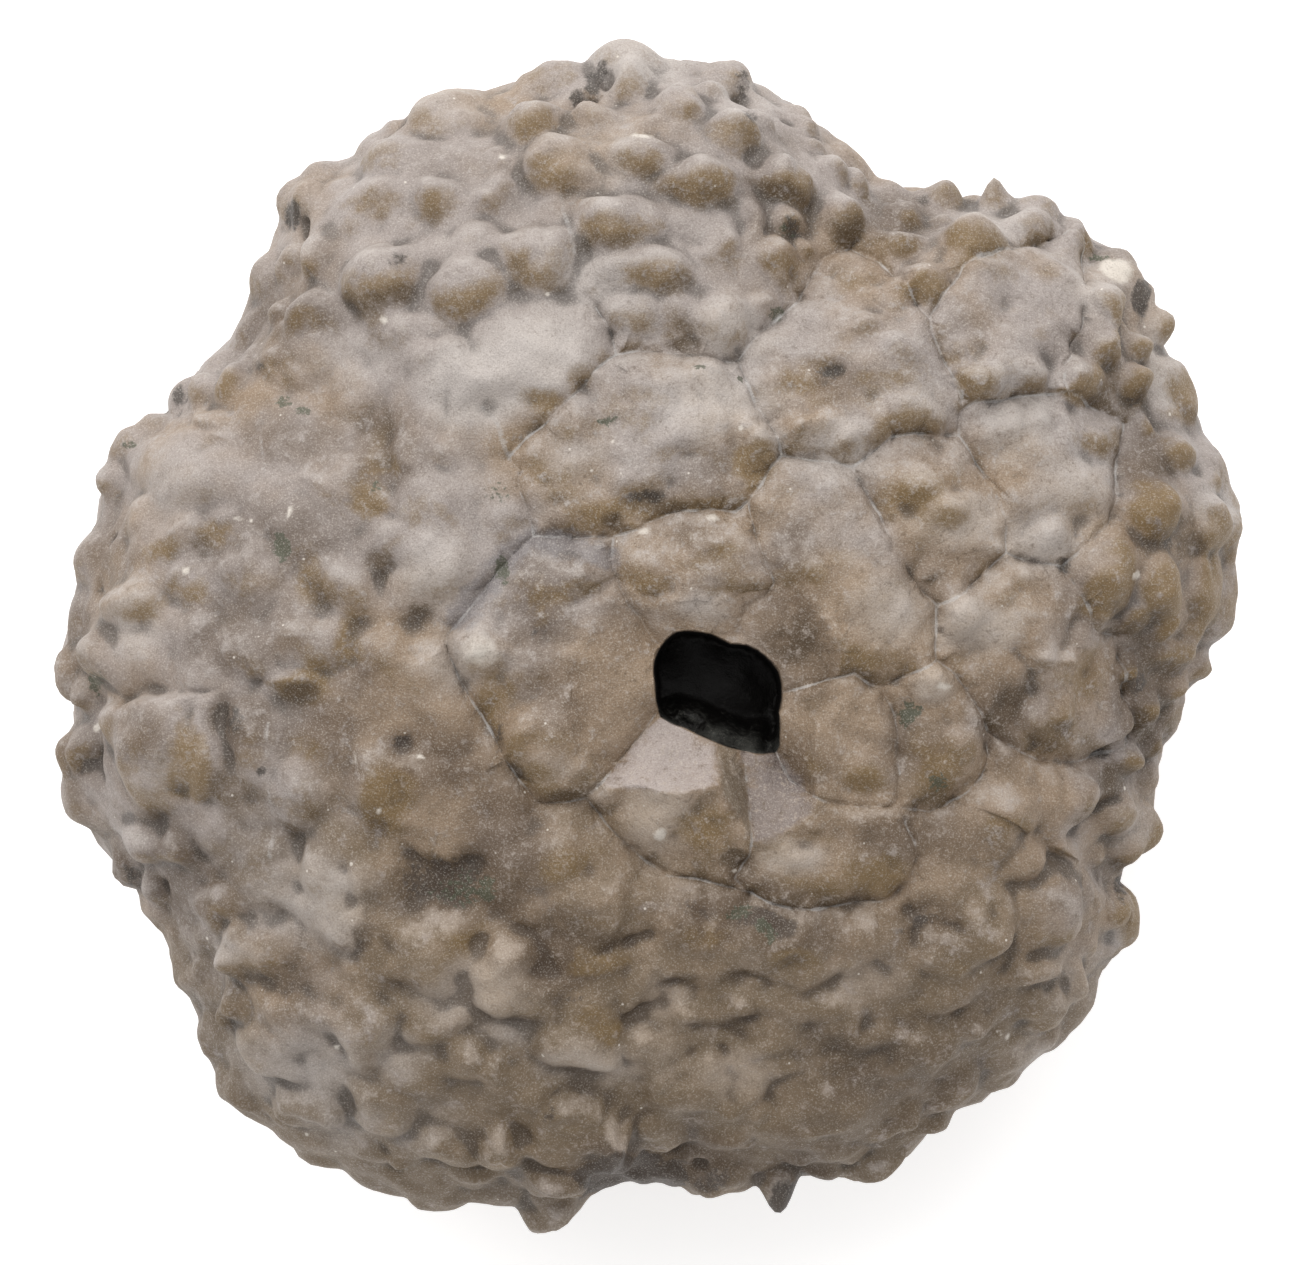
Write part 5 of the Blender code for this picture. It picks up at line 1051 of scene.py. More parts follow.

# %% [markdown]
# ## Marks that the stone's finish follows
# Colours follow the form: ochre iron stain and painted shade lie on the lower sides of knobs,
# dark sediment and painted shade in the pits, and pale calcite and painted light on the tops.
# Each mark is one number per point, stored on the mesh, where the material reads it.

# %% Stains, painted shade and light, pale spots and grit: x, y, half width, half height, strength
# brown stain, much of it just below knobs, partly painted shade
BROWN_STAIN_AND_SHADE_SPOTS = (
    (-8.0, 10.0, 1.5, 0.6, 0.8), (-7.8, 5.2, 0.6, 0.5, 1.0), (-2.5, 3.9, 0.9, 0.4, 0.8),
    (0.4, 3.9, 1.6, 0.4, 0.9), (-0.9, 3.4, 0.5, 0.4, 0.9), (1.2, 8.6, 0.8, 0.3, 1.0),
    (1.4, 9.4, 0.6, 0.5, 0.7), (5.8, 12.3, 0.8, 0.8, 1.0), (4.2, 12.2, 0.6, 0.6, 0.8),
    (3.9, 13.2, 1.0, 0.5, 0.8), (-0.8, 11.6, 1.3, 0.5, 0.9), (10.8, -2.0, 1.0, 1.1, 0.9),
    (9.4, -3.3, 0.8, 0.7, 0.7), (13.0, -5.2, 0.9, 0.5, 0.7), (-12.9, -3.4, 0.5, 1.5, 0.9),
    (-14.4, -3.5, 0.6, 0.6, 0.8), (-9.6, 1.2, 0.6, 0.9, 0.8), (-8.5, 0.0, 0.6, 0.7, 0.7),
    (-9.9, -1.9, 1.3, 0.5, 0.8), (-12.4, 0.2, 0.5, 0.4, 1.0), (-8.3, 2.3, 0.7, 0.5, 0.7),
    (-10.5, -9.2, 0.6, 0.7, 0.8), (-8.3, -8.4, 0.5, 1.2, 0.8), (-7.6, -4.4, 0.7, 0.8, 0.8),
    (-13.2, 2.6, 0.6, 0.5, 0.7), (-0.9, -9.4, 1.0, 0.5, 1.0), (-1.5, -11.4, 1.0, 0.6, 0.8),
    (1.4, -11.4, 0.7, 0.5, 0.7), (2.9, -10.4, 0.8, 0.4, 0.8), (6.2, -12.2, 1.0, 0.6, 0.7),
    (3.8, 5.2, 0.5, 0.6, 0.6), (8.6, 1.2, 0.7, 0.7, 0.7), (16.2, 3.0, 0.6, 0.8, 0.8),
    (-6.5, -8.6, 0.7, 0.3, 0.8), (-0.4, -7.6, 0.4, 0.4, 0.8), (2.5, -6.6, 0.5, 0.5, 0.8),
    (4.6, 0.0, 1.3, 1.2, 1.1), (5.0, -13.2, 2.6, 1.6, 0.9), (-4.0, -4.2, 0.5, 0.6, 0.6),
    (8.2, -12.0, 1.4, 1.1, 0.8), (10.0, -1.0, 0.6, 0.8, 0.8), (12.0, -2.6, 1.2, 0.9, 0.9),
    (-8.0, 6.0, 0.8, 0.8, 0.7), (3.0, -11.2, 1.2, 0.7, 0.6), (5.2, -3.2, 0.6, 0.9, 0.5),
    (-7.6, 1.5, 0.7, 1.1, 0.7), (-6.7, 0.4, 0.9, 0.5, 0.7), (-0.8, -16.0, 1.6, 0.8, 1.2),
    (4.5, -16.3, 1.6, 1.0, 1.0), (4.1, -17.3, 0.6, 0.9, 1.3), (-3.1, -3.0, 0.5, 1.2, 0.5),
    (-7.4, -3.9, 0.9, 0.6, 0.7), (10.7, -2.2, 1.2, 1.1, 0.6), (15.0, -2.6, 0.9, 1.2, 0.7),
    (13.6, -4.2, 1.0, 0.6, 0.7), (1.8, -5.2, 1.0, 0.7, 0.5), (-4.0, 11.0, 0.9, 0.5, 0.6),
    (0.9, 10.3, 0.7, 1.0, 0.6), (3.8, 13.4, 1.3, 0.8, 0.4), (14.9, 4.9, 0.9, 0.8, 0.6),
)
OCHRE_SPOTS = (
    (-3.6, 1.3, 1.5, 1.2, 0.6), (-4.3, -2.2, 0.8, 1.6, 0.7), (-3.4, -4.3, 1.0, 0.7, 0.7),
    (1.6, 2.6, 1.8, 0.9, 0.6), (-0.3, 1.8, 0.7, 0.8, 0.4), (4.8, 4.3, 1.4, 0.9, 0.6),
    (7.4, 1.3, 1.0, 1.1, 0.6), (6.6, -0.3, 1.3, 0.8, 0.5), (5.5, 2.2, 1.0, 1.0, 0.5),
    (-2.4, 4.9, 1.3, 1.5, 0.5), (0.0, 6.5, 1.9, 0.9, 0.5), (3.2, 5.0, 0.8, 0.9, 0.9),
    (0.8, 7.8, 1.3, 0.5, 0.6), (0.0, 3.7, 2.8, 0.5, 0.6), (4.5, 7.3, 1.5, 0.9, 0.6),
    (7.2, 7.0, 1.6, 1.0, 0.7), (6.3, 10.4, 1.1, 0.8, 0.5), (9.8, 8.1, 1.3, 0.9, 0.7),
    (11.8, 11.2, 1.0, 0.7, 0.5), (11.5, 9.3, 0.9, 0.9, 0.4), (13.3, 5.9, 1.0, 0.8, 0.6),
    (12.3, 3.5, 1.3, 0.9, 0.5), (8.5, 4.2, 1.7, 1.5, 0.8), (10.9, 1.2, 1.7, 0.9, 0.5),
    (13.0, -1.2, 0.9, 1.7, 0.6), (9.6, -0.6, 0.7, 0.7, 0.6), (12.0, -2.6, 1.3, 0.9, 0.6),
    (8.5, -3.5, 1.0, 1.5, 0.7), (6.6, -4.2, 0.9, 0.8, 0.7), (5.0, -3.6, 0.6, 0.7, 0.5),
    (1.7, -5.7, 1.0, 0.8, 0.8), (-0.6, -5.4, 0.7, 0.6, 0.5), (5.0, -6.8, 1.9, 1.0, 0.8),
    (7.0, -7.2, 1.0, 0.7, 0.8), (-9.9, -1.5, 1.2, 0.9, 0.9), (-8.8, -0.2, 0.6, 1.0, 0.9),
    (-13.5, 1.4, 0.9, 0.9, 0.7), (-14.7, 0.7, 1.0, 0.6, 0.6), (-13.6, -3.9, 0.8, 1.4, 0.9),
    (-9.8, 1.4, 0.7, 1.1, 0.8), (-7.9, 5.3, 0.9, 1.0, 0.9), (-8.2, 3.9, 0.8, 0.8, 0.8),
    (-5.9, 6.3, 0.8, 0.5, 0.3), (-7.6, -4.6, 1.0, 1.4, 0.9), (-10.2, -3.7, 0.8, 1.2, 0.7),
    (-3.2, 6.9, 0.9, 0.5, 0.8), (-12.7, 3.0, 0.8, 0.6, 0.6), (-14.6, 2.6, 0.6, 0.6, 0.7),
    (-5.2, -9.0, 1.6, 0.9, 0.8), (-1.3, -9.7, 1.6, 0.7, 1.1), (-1.2, -11.6, 1.3, 0.6, 0.9),
    (2.5, -8.6, 1.6, 0.8, 0.8), (-2.0, -6.6, 1.4, 0.8, 0.7), (5.0, -9.6, 1.6, 0.6, 0.7),
)
# darker patches, partly darker stone and partly painted shade
DULL_AND_SHADE_SPOTS = (
    (-4.2, -6.4, 1.8, 3.2, 1.0), (-6.3, -3.7, 2.6, 1.6, 0.8), (-2.6, -9.5, 2.4, 1.8, 0.8),
    (2.8, -8.3, 3.4, 1.4, 1.0), (4.2, 0.2, 1.5, 2.2, 0.7), (-2.8, 2.1, 1.9, 1.4, 0.7),
    (-2.6, -1.8, 2.0, 1.6, 0.6), (10.6, -2.2, 1.6, 1.3, 0.9), (14.8, -1.9, 1.4, 3.0, 0.9),
    (-12.3, 0.0, 2.4, 1.8, 0.6), (-12.0, -2.5, 1.4, 1.2, 0.8), (-10.2, 3.0, 3.6, 1.9, 0.5),
    (-7.6, 5.3, 1.7, 1.9, 0.8), (-9.6, -2.6, 2.6, 1.5, 0.6), (-0.9, -16.1, 1.9, 1.3, 1.2),
    (1.8, -15.7, 2.0, 1.2, 0.8), (4.6, -16.4, 1.5, 2.2, 0.9), (7.5, 12.4, 1.8, 1.2, 0.9),
    (15.0, 5.1, 1.3, 1.6, 0.8), (7.8, -6.0, 3.2, 1.4, 0.7), (8.0, -3.4, 1.6, 1.3, 0.7),
    (8.3, -8.7, 1.6, 1.2, 0.6), (4.2, -4.0, 1.8, 1.1, 0.8), (-11.2, 9.5, 1.9, 2.4, 0.6),
    (-13.8, -7.4, 1.9, 1.9, 0.6), (-16.7, -3.7, 1.3, 1.6, 0.5), (7.8, -13.2, 3.6, 2.2, 0.5),
    (-6.2, 14.0, 2.8, 1.5, 0.3), (-3.9, 12.7, 2.2, 1.3, 0.3), (3.9, 14.3, 1.3, 1.3, 0.4),
    (1.7, 4.6, 1.6, 1.2, 0.5), (13.2, 0.8, 1.8, 1.4, 0.5), (-7.2, -7.8, 1.3, 1.3, 0.5),
    (12.7, -7.6, 1.4, 1.1, 0.3), (9.5, 9.2, 1.8, 1.2, 0.3), (5.7, 7.5, 1.2, 0.9, 0.4),
    (-9.5, 11.0, 1.3, 1.4, 0.4), (-3.0, -16.6, 1.4, 1.2, 0.4), (-3.3, 1.0, 1.6, 2.4, 0.8),
    (2.6, -4.5, 0.6, 1.3, 1.0), (-2.2, -4.9, 0.9, 0.5, 0.8), (2.6, -7.2, 0.9, 0.9, 0.8),
    (4.3, 2.4, 1.1, 1.6, 0.7), (5.0, -8.8, 2.4, 1.2, 0.6), (-8.6, -3.9, 1.8, 1.0, 0.5),
    (-10.3, 9.6, 2.2, 1.4, 0.6), (-17.2, 0.2, 1.0, 2.0, 0.5), (-10.3, -10.4, 1.2, 1.6, 0.4),
    (7.0, -13.0, 3.4, 2.6, 0.5), (9.8, -11.2, 1.3, 1.2, 0.5), (0.8, 13.6, 1.4, 1.3, 0.5),
    (-0.8, 11.7, 1.2, 0.9, 0.5), (-0.8, 0.3, 1.1, 1.6, 0.4), (1.5, 3.0, 1.3, 1.1, 0.5),
    (3.6, -8.8, 1.5, 0.8, 0.7), (-6.0, -8.1, 1.8, 0.9, 0.8), (4.9, -1.0, 1.0, 1.4, 0.6),
    (10.8, -2.2, 1.3, 1.1, 0.6), (15.0, -2.6, 1.2, 1.9, 0.6), (13.5, -4.3, 1.3, 0.9, 0.6),
    (12.7, -7.6, 1.3, 1.1, 0.5), (-13.7, -7.3, 1.6, 1.6, 0.5), (-15.8, -7.2, 1.0, 1.3, 0.6),
    (-11.0, 0.2, 1.6, 1.2, 0.5), (-8.9, -1.6, 1.4, 1.2, 0.4), (-12.3, -2.4, 1.0, 1.2, 0.5),
    (-10.4, 9.4, 1.5, 1.2, 0.3), (-11.0, 6.0, 1.6, 1.4, 0.4), (-12.5, 2.5, 1.6, 1.4, 0.4),
    (-16.2, 2.4, 1.2, 2.2, 0.5), (-17.4, -0.6, 1.0, 2.4, 0.5), (7.5, 12.8, 1.4, 1.0, 0.5),
    (-3.3, 12.7, 1.4, 1.2, 0.3), (3.8, 13.8, 1.4, 1.2, 0.4), (12.7, 8.6, 1.4, 1.4, 0.4),
    (15.0, 4.7, 1.2, 1.2, 0.5), (8.2, -13.1, 1.8, 1.2, 0.4), (1.7, -15.6, 1.6, 0.9, 0.5),
    (4.1, -4.0, 0.9, 0.7, 1.0), (10.6, -2.6, 1.2, 1.8, 0.7), (-7.2, -4.0, 1.2, 1.1, 0.6),
    (-2.7, 2.7, 1.0, 1.0, 0.9), (5.6, 7.5, 1.5, 0.9, 0.7), (3.4, 13.0, 1.0, 1.8, 0.6),
    (-15.0, -3.0, 1.4, 1.4, 0.6), (-12.3, -2.6, 1.0, 1.3, 0.7), (-8.6, -1.4, 1.2, 1.3, 0.6),
    (-10.3, -12.4, 1.6, 1.9, 0.5), (-9.4, -8.9, 2.8, 0.9, 0.4), (12.4, -7.9, 1.3, 0.8, 0.7),
    (5.6, -15.0, 1.5, 1.4, 0.5), (-3.8, -9.2, 1.4, 1.6, 0.5), (3.8, -8.5, 1.6, 0.9, 0.9),
    (-6.9, -8.1, 1.5, 0.8, 0.6), (0.9, 13.5, 1.4, 1.8, 0.4), (14.2, 11.6, 1.2, 0.7, 0.5),
    (-11.6, 9.0, 1.4, 1.2, 0.5), (-9.7, 5.6, 1.5, 1.1, 0.4), (-14.2, -6.8, 1.6, 2.0, 0.5),
    (3.8, 0.4, 1.0, 1.0, 0.5), (-3.9, -9.2, 1.1, 1.6, 0.4), (8.3, 2.0, 1.6, 1.0, 0.3),
)
# lighter patches, partly pale stone and partly painted light
PALE_AND_LIT_SPOTS = (
    (-5.0, 7.4, 2.2, 1.7, 1.3), (-3.2, 8.4, 2.2, 1.5, 1.0), (2.0, 6.8, 2.8, 1.5, 0.8),
    (2.5, 8.9, 1.7, 1.4, 0.8), (-1.7, 10.4, 2.6, 1.7, 0.6), (-0.3, 17.1, 2.1, 1.2, 0.9),
    (5.7, 5.4, 2.0, 1.5, 0.8), (11.0, 6.6, 1.7, 2.2, 0.7), (12.6, 4.2, 2.0, 2.3, 0.6),
    (9.3, 3.4, 2.0, 1.2, 0.8), (9.8, 0.2, 1.9, 1.1, 1.1), (-6.3, 1.8, 1.5, 1.6, 0.8),
    (-5.5, -0.8, 2.2, 1.2, 0.7), (0.3, -5.4, 1.6, 1.9, 0.8), (-9.9, -8.0, 2.6, 2.0, 0.8),
    (-5.1, -10.7, 2.5, 1.6, 0.8), (-10.2, -12.9, 3.0, 2.0, 0.7), (-9.0, -14.8, 2.2, 1.2, 0.5),
    (13.6, 10.3, 1.8, 1.4, 0.6), (15.5, 8.8, 1.2, 2.0, 0.7), (17.2, 3.6, 1.2, 1.4, 0.8),
    (-15.3, 0.4, 1.2, 1.8, 0.7), (-14.0, 4.5, 2.0, 1.7, 0.4), (-8.8, 8.0, 2.3, 1.3, 0.4),
    (6.3, -10.3, 1.8, 1.1, 0.5), (0.4, -11.9, 1.7, 2.6, 0.4), (12.6, -10.2, 1.5, 1.8, 0.4),
    (-6.4, 16.2, 2.8, 1.0, 0.5), (-14.3, -4.2, 1.4, 1.3, 0.5), (-6.4, -14.6, 2.0, 1.4, 0.4),
    (10.8, 12.3, 1.6, 1.3, 0.5), (15.6, 8.2, 1.0, 2.2, 1.0), (0.7, -10.8, 1.0, 0.8, 0.9),
    (-1.3, 14.0, 1.6, 2.0, 0.4), (3.0, 16.0, 1.5, 1.8, 0.4), (-1.8, -12.8, 2.2, 0.8, 0.9),
    (-4.2, -11.8, 1.4, 0.8, 0.7), (2.6, -13.2, 1.6, 1.0, 0.7), (4.3, -6.6, 1.5, 0.8, 1.0),
    (-3.5, 7.8, 1.7, 1.1, 1.2), (-2.4, 10.7, 1.4, 1.1, 0.4), (-0.5, 9.3, 1.2, 0.9, 0.5),
    (2.4, 8.9, 1.0, 0.8, 0.5), (3.6, 5.7, 0.9, 0.9, 0.7), (8.1, 6.7, 1.4, 1.1, 0.6),
    (-2.2, 5.1, 1.3, 1.1, 0.5), (1.6, 0.8, 1.3, 0.7, 0.7), (-5.0, -0.7, 1.1, 1.2, 0.7),
    (-6.1, 1.3, 1.1, 1.2, 0.4), (7.2, 0.7, 1.6, 1.5, 0.8), (8.4, -1.6, 0.9, 0.7, 1.0),
    (11.6, 2.6, 1.9, 1.4, 0.8), (0.2, -5.7, 1.2, 0.9, 1.0), (-1.4, -4.7, 0.7, 0.5, 0.5),
    (-3.0, -4.0, 1.4, 0.8, 0.5), (5.5, 5.5, 1.2, 0.9, 0.6), (-9.1, -8.2, 1.1, 1.9, 1.1),
    (-7.4, -12.5, 1.5, 1.1, 0.6), (-0.3, 17.0, 1.3, 0.8, 0.6), (-5.5, 15.8, 1.4, 0.9, 0.4),
    (2.8, 16.4, 1.0, 0.8, 0.6), (15.3, 9.0, 1.0, 1.1, 0.6), (17.2, 3.8, 0.9, 1.1, 0.7),
    (14.5, -5.8, 1.1, 0.9, 0.6), (14.3, -9.0, 0.9, 1.1, 0.6), (11.5, -12.5, 1.2, 0.9, 0.6),
    (-15.2, 0.6, 1.1, 0.9, 0.6), (-5.4, -10.6, 1.8, 1.2, 0.7), (-12.2, -9.6, 1.0, 0.9, 0.6),
)
# dark spots, partly sediment and partly painted shade in pits and under the southern rim
DARK_SEDIMENT_AND_SHADE_SPOTS = (
    (0.1, 4.15, 0.95, 0.35, 1.0), (-5.9, -7.2, 1.7, 0.85, 1.1), (-7.3, -3.2, 0.4, 0.35, 1.0),
    (-2.3, 2.35, 0.6, 0.25, 0.8), (-3.4, 0.1, 0.35, 0.28, 0.7), (-12.3, -2.6, 0.4, 0.9, 0.8),
    (-11.5, -4.0, 0.22, 0.26, 0.9), (-10.2, -6.1, 0.4, 0.3, 0.6), (-4.4, -2.9, 0.25, 0.9, 0.7),
    (5.5, 7.75, 0.65, 0.3, 0.8), (8.1, -8.6, 0.95, 0.22, 0.9), (14.8, 10.15, 0.45, 0.65, 1.5),
    (-2.1, 16.0, 0.34, 0.34, 1.2), (-1.7, 16.45, 0.32, 0.42, 1.2), (-1.35, 16.9, 0.26, 0.4, 1.2),
    (-11.5, 7.9, 0.3, 0.35, 0.9), (-16.3, 1.25, 0.35, 0.22, 0.7), (-16.8, -4.1, 0.3, 0.35, 0.8),
    (13.5, -3.6, 0.5, 0.22, 0.8), (11.4, -3.35, 0.3, 0.2, 0.8), (-6.6, 0.3, 0.7, 0.3, 0.35),
    (7.8, -2.4, 0.45, 0.6, 0.9), (-0.5, -16.2, 1.9, 0.8, 2.4), (3.5, -8.6, 1.2, 0.5, 1.2),
    (1.4, -8.1, 1.2, 0.5, 0.6), (7.7, -2.4, 0.3, 0.55, 0.9), (3.7, -3.9, 0.8, 0.25, 0.7),
    (-1.1, 6.4, 0.5, 0.22, 0.8), (-10.6, 12.6, 0.34, 0.7, 1.1), (2.85, 16.5, 0.34, 0.55, 1.0),
    (-14.1, 7.1, 0.3, 0.45, 1.0), (14.2, -7.6, 0.36, 0.5, 1.0), (-15.5, -7.2, 0.32, 0.5, 0.9),
    (4.1, -17.2, 0.7, 1.1, 1.6), (2.0, -16.3, 1.0, 0.5, 0.9), (3.2, 15.4, 0.45, 0.45, 0.8),
    (-7.4, 11.1, 0.5, 0.4, 0.7), (4.3, 12.1, 0.5, 0.5, 0.8), (12.3, 2.0, 0.4, 0.4, 0.9),
    (15.6, 2.7, 0.45, 0.35, 0.8), (14.6, -1.4, 0.4, 0.6, 0.9), (14.5, 6.9, 0.5, 0.3, 0.7),
    (-2.2, -11.0, 0.5, 0.3, 0.7), (-2.9, -14.4, 0.5, 0.4, 0.9),
)
GRIT_SPOTS = (
    (-4.3, 1.9, 0.35, 0.6, 1.0), (-10.8, 2.6, 0.35, 0.55, 1.0), (7.8, -2.4, 0.4, 0.55, 1.0),
    (2.7, -8.3, 0.55, 0.35, 0.9), (3.4, -8.9, 0.35, 0.45, 0.9), (-4.7, -7.5, 0.4, 0.5, 0.9),
    (3.8, 9.5, 0.35, 0.3, 0.9), (1.5, 7.8, 0.35, 0.12, 1.0), (2.8, 7.6, 0.16, 0.12, 1.0),
    (-16.4, -1.5, 0.4, 0.5, 0.8), (8.6, -4.5, 0.4, 0.4, 0.8), (-15.5, 5.6, 0.35, 0.15, 0.8),
    (-1.1, 6.4, 0.5, 0.25, 0.8), (-4.4, 4.3, 0.7, 0.4, 0.5), (4.1, 12.0, 0.5, 0.5, 0.5),
    (-5.5, -7.5, 1.3, 0.7, 0.6), (-10.8, 6.95, 0.3, 0.2, 0.9), (-10.2, 6.6, 0.4, 0.18, 0.9),
    (-8.0, 4.3, 0.25, 0.25, 0.8), (13.6, 11.3, 0.7, 0.14, 0.9), (3.8, 9.4, 0.3, 0.25, 0.8),
)
PALE_SPOTS = (
    (-4.9, -0.5, 0.85, 0.75, 0.62), (0.45, -6.0, 0.28, 0.28, 0.9), (-13.75, 1.95, 0.2, 0.18, 0.8),
    (-12.1, 3.4, 0.3, 0.14, 0.7), (14.05, 10.95, 0.6, 0.5, 1.0), (10.7, -11.7, 0.16, 0.16, 0.9),
    (-10.6, 3.6, 0.12, 0.3, 0.8), (-8.7, -3.7, 0.1, 0.3, 0.7), (-9.4, -12.3, 0.16, 0.14, 0.9),
    (-4.3, 14.2, 0.16, 0.16, 0.9), (-0.2, 14.8, 0.5, 0.12, 0.7), (8.8, -1.6, 0.35, 0.16, 0.8),
    (-8.0, -5.15, 0.16, 0.14, 0.8), (2.0, 3.45, 0.3, 0.16, 0.7), (14.65, 1.8, 0.18, 0.18, 0.9),
    (-6.7, -3.6, 0.25, 0.12, 0.9), (-16.4, -2.8, 0.18, 0.18, 0.9), (-7.8, 9.3, 0.3, 0.14, 0.8),
    (-1.05, 5.72, 0.12, 0.12, 1.0), (2.75, 5.95, 0.1, 0.1, 1.0), (-11.7, 3.35, 0.12, 0.12, 1.0),
    (-8.9, -8.7, 0.16, 0.12, 1.0), (-0.1, 3.0, 0.3, 0.16, 0.7), (2.4, -7.0, 0.12, 0.12, 0.8),
)


EAST, EAST_TOP = (11.8, 2.2), (11.0, 1.5)   # mm: where a region begins or ends, and over what width
WEST, WEST_TOP = (-6.0, 5.0), (11.0, 4.0)
SOUTH_SHADE_FROM, SOUTH_SHADE_OVER = 4.0, 20.0    # mm: from here southward the stone is warmer and darker, partly painted shade
CORES = ((1.0, -10.0, 10.5, 0.9), (8.0, 0.5, 5.5, 0.45))    # x, y, reach, strength
FACETS = {"lilac_and_lit": LILAC_LIT_FACET, "olive": OLIVE_FACET, "mauve": MAUVE_FACET}
FACET_ROUNDS = 4            # rounds of averaging that soften a facet's border
SPOT_BEND = 0.7             # share of the knobs' bending that the spots' outlines get
HAZE_REACH = 0.7
FAINT_REACH = 1.0
SHADE_SIDE = (0.15, -1.0, 0.0)     # away from the window, the side where shade is painted
FULL_KNOB = 0.55            # mm of rise at which a knob is marked in full

east_x, north_y = body[:, 0], body[:, 1]
plan_places = (surface + SPOT_BEND * (knob_places - body))[:, :2]


def spots(rows, softness=0.8):
    """Soft-edged blots at listed spots on the upper side, placed as seen from above."""
    field = np.zeros(len(body))
    for x, y, half_x, half_y, strength in rows:
        share = (((plan_places - (x, y)) / (half_x, half_y)) ** 2).sum(axis=1)
        touched = (share < 1.0) & upper
        blot = strength * (1.0 - share[touched]) ** softness
        field[touched] = np.maximum(field[touched], blot)
    return field


def seen_from(direction):
    """How much more a point's surface leans one way than the smooth body does there."""
    lean = np.array(direction) / np.linalg.norm(direction)
    return (surface_normals - body_normals) @ lean


marks = {
    "seam": np.minimum(seam_distance, SEAM_REACH),
    "faint": np.minimum(faint_distance, FAINT_REACH),
    "haze": 1.0 - nearest_on_lines(knob_places, HAZE_LINES, HAZE_REACH)[0] / HAZE_REACH,
    "east": smooth_step((east_x - EAST[0]) / EAST[1])
            * smooth_step((EAST_TOP[0] - north_y) / EAST_TOP[1]),
    # painted shade with sediment in tight hollows
    "hollow_sediment_and_shade": fine_hollow * np.where(in_funnel, 0.3, 1.0),
    # painted shade in the broad hollows
    "broad_hollow_shade": broad_hollow_shade,
    # painted shade, with some ochre stain: where the surface leans away from the window
    "lee_shade_and_stain": averaged(seen_from(SHADE_SIDE), 3) * np.where(in_funnel, 0.2, 1.0),
    # warmer and darker towards the south, partly painted shade
    "south_warmth_and_shade": smooth_step((SOUTH_SHADE_FROM - north_y) / SOUTH_SHADE_OVER + 0.3 * noise_field(body, 5.0, 6.0)),
    "knob": np.clip(knobs / FULL_KNOB, 0.0, 1.0) * np.where(in_funnel, 0.0, 1.0),
    "ochre": spots(OCHRE_SPOTS),
    # brown stain, partly painted shade below knobs
    "brown_stain_and_shade": spots(BROWN_STAIN_AND_SHADE_SPOTS),
    "core": sum(strength * np.exp(-((east_x - x) ** 2 + (north_y - y) ** 2) / reach ** 2)
                for x, y, reach, strength in CORES),
    # painted shade on the western side, which faces the window
    "west_shade": smooth_step((WEST[0] - east_x) / WEST[1])
            * smooth_step((WEST_TOP[0] - north_y) / WEST_TOP[1]),
    **{facet: averaged(inside_loop(body, loop) * in_funnel * (1.0 - shaft), FACET_ROUNDS)
       for facet, loop in FACETS.items()},
    # darker patches, partly painted shade
    "dull_and_shade": spots(DULL_AND_SHADE_SPOTS, 1.2),
    # lighter patches, partly painted light
    "pale_and_lit": spots(PALE_AND_LIT_SPOTS, 1.2),
    # dark spots, partly sediment and partly painted shade
    "dark_sediment_and_shade": spots(DARK_SEDIMENT_AND_SHADE_SPOTS),
    "grit": spots(GRIT_SPOTS),
    "pale": spots(PALE_SPOTS),
    "shaft": shaft,
    "silt": silt * in_opening,
    "plated": plated,
}
for name, values in marks.items():
    print(f"{name:>13}: {values.min():6.2f} to {values.max():5.2f}")

# %% Make the mesh, and thin it to what its form needs
TRIANGLES_KEPT = 197000
calyx_mesh = bpy.data.meshes.new("calyx_stone")
calyx_bm.to_mesh(calyx_mesh)
calyx_bm.free()
for name, values in marks.items():
    attribute = calyx_mesh.attributes.new(name, "FLOAT", "POINT")
    attribute.data.foreach_set("value", values.astype(np.float32))
calyx = bpy.data.objects.new("calyx_stone", calyx_mesh)
bpy.context.collection.objects.link(calyx)
hidden = calyx.vertex_groups.new(name="hidden_side")
hidden.add([int(index) for index in np.flatnonzero(~upper)], 1.0, "REPLACE")
if len(calyx_mesh.polygons) > TRIANGLES_KEPT:
    thinning = calyx.modifiers.new("thin", "DECIMATE")
    thinning.ratio = TRIANGLES_KEPT / len(calyx_mesh.polygons)
    thinning.vertex_group = hidden.name
    graph = bpy.context.evaluated_depsgraph_get()
    calyx_mesh = bpy.data.meshes.new_from_object(calyx.evaluated_get(graph))
    calyx.modifiers.clear()
    calyx.data = calyx_mesh
calyx_mesh.shade_smooth()
print("calyx:", len(calyx_mesh.polygons), "triangles,", sorted(calyx_mesh.attributes.keys()))

# %% [markdown]
# ## The stone

# %% Colours of the stone
BUMP_HEIGHT = 0.08          # mm
BUMP_STRENGTH = 0.5
GLOSS = 0.4
CLEAN_STONE = srgb(144, 135, 130)
WARM_STONE = srgb(134, 115, 95)
# pale frost, also laid as painted light on tops and in lighter patches
FROST_AND_LIGHT = srgb(171, 164, 159)
WARM_FROST_AND_LIGHT = srgb(168, 152, 135)
# ochre iron stain, also laid as painted shade on the lower sides of knobs
IRON_STAIN_AND_SHADE = srgb(112, 90, 55)
DEEP_BROWN = srgb(72, 57, 39)
# sediment, also laid as painted shade in hollows and pits
SEDIMENT_AND_SHADE = srgb(48, 42, 37)
WARM_SEDIMENT_AND_SHADE = srgb(56, 42, 30)
MOSSY_GRIT = srgb(66, 70, 53)
CALCITE = srgb(203, 196, 186)
VEIL = srgb(176, 174, 172)
BLUE_HAZE = srgb(112, 109, 112)
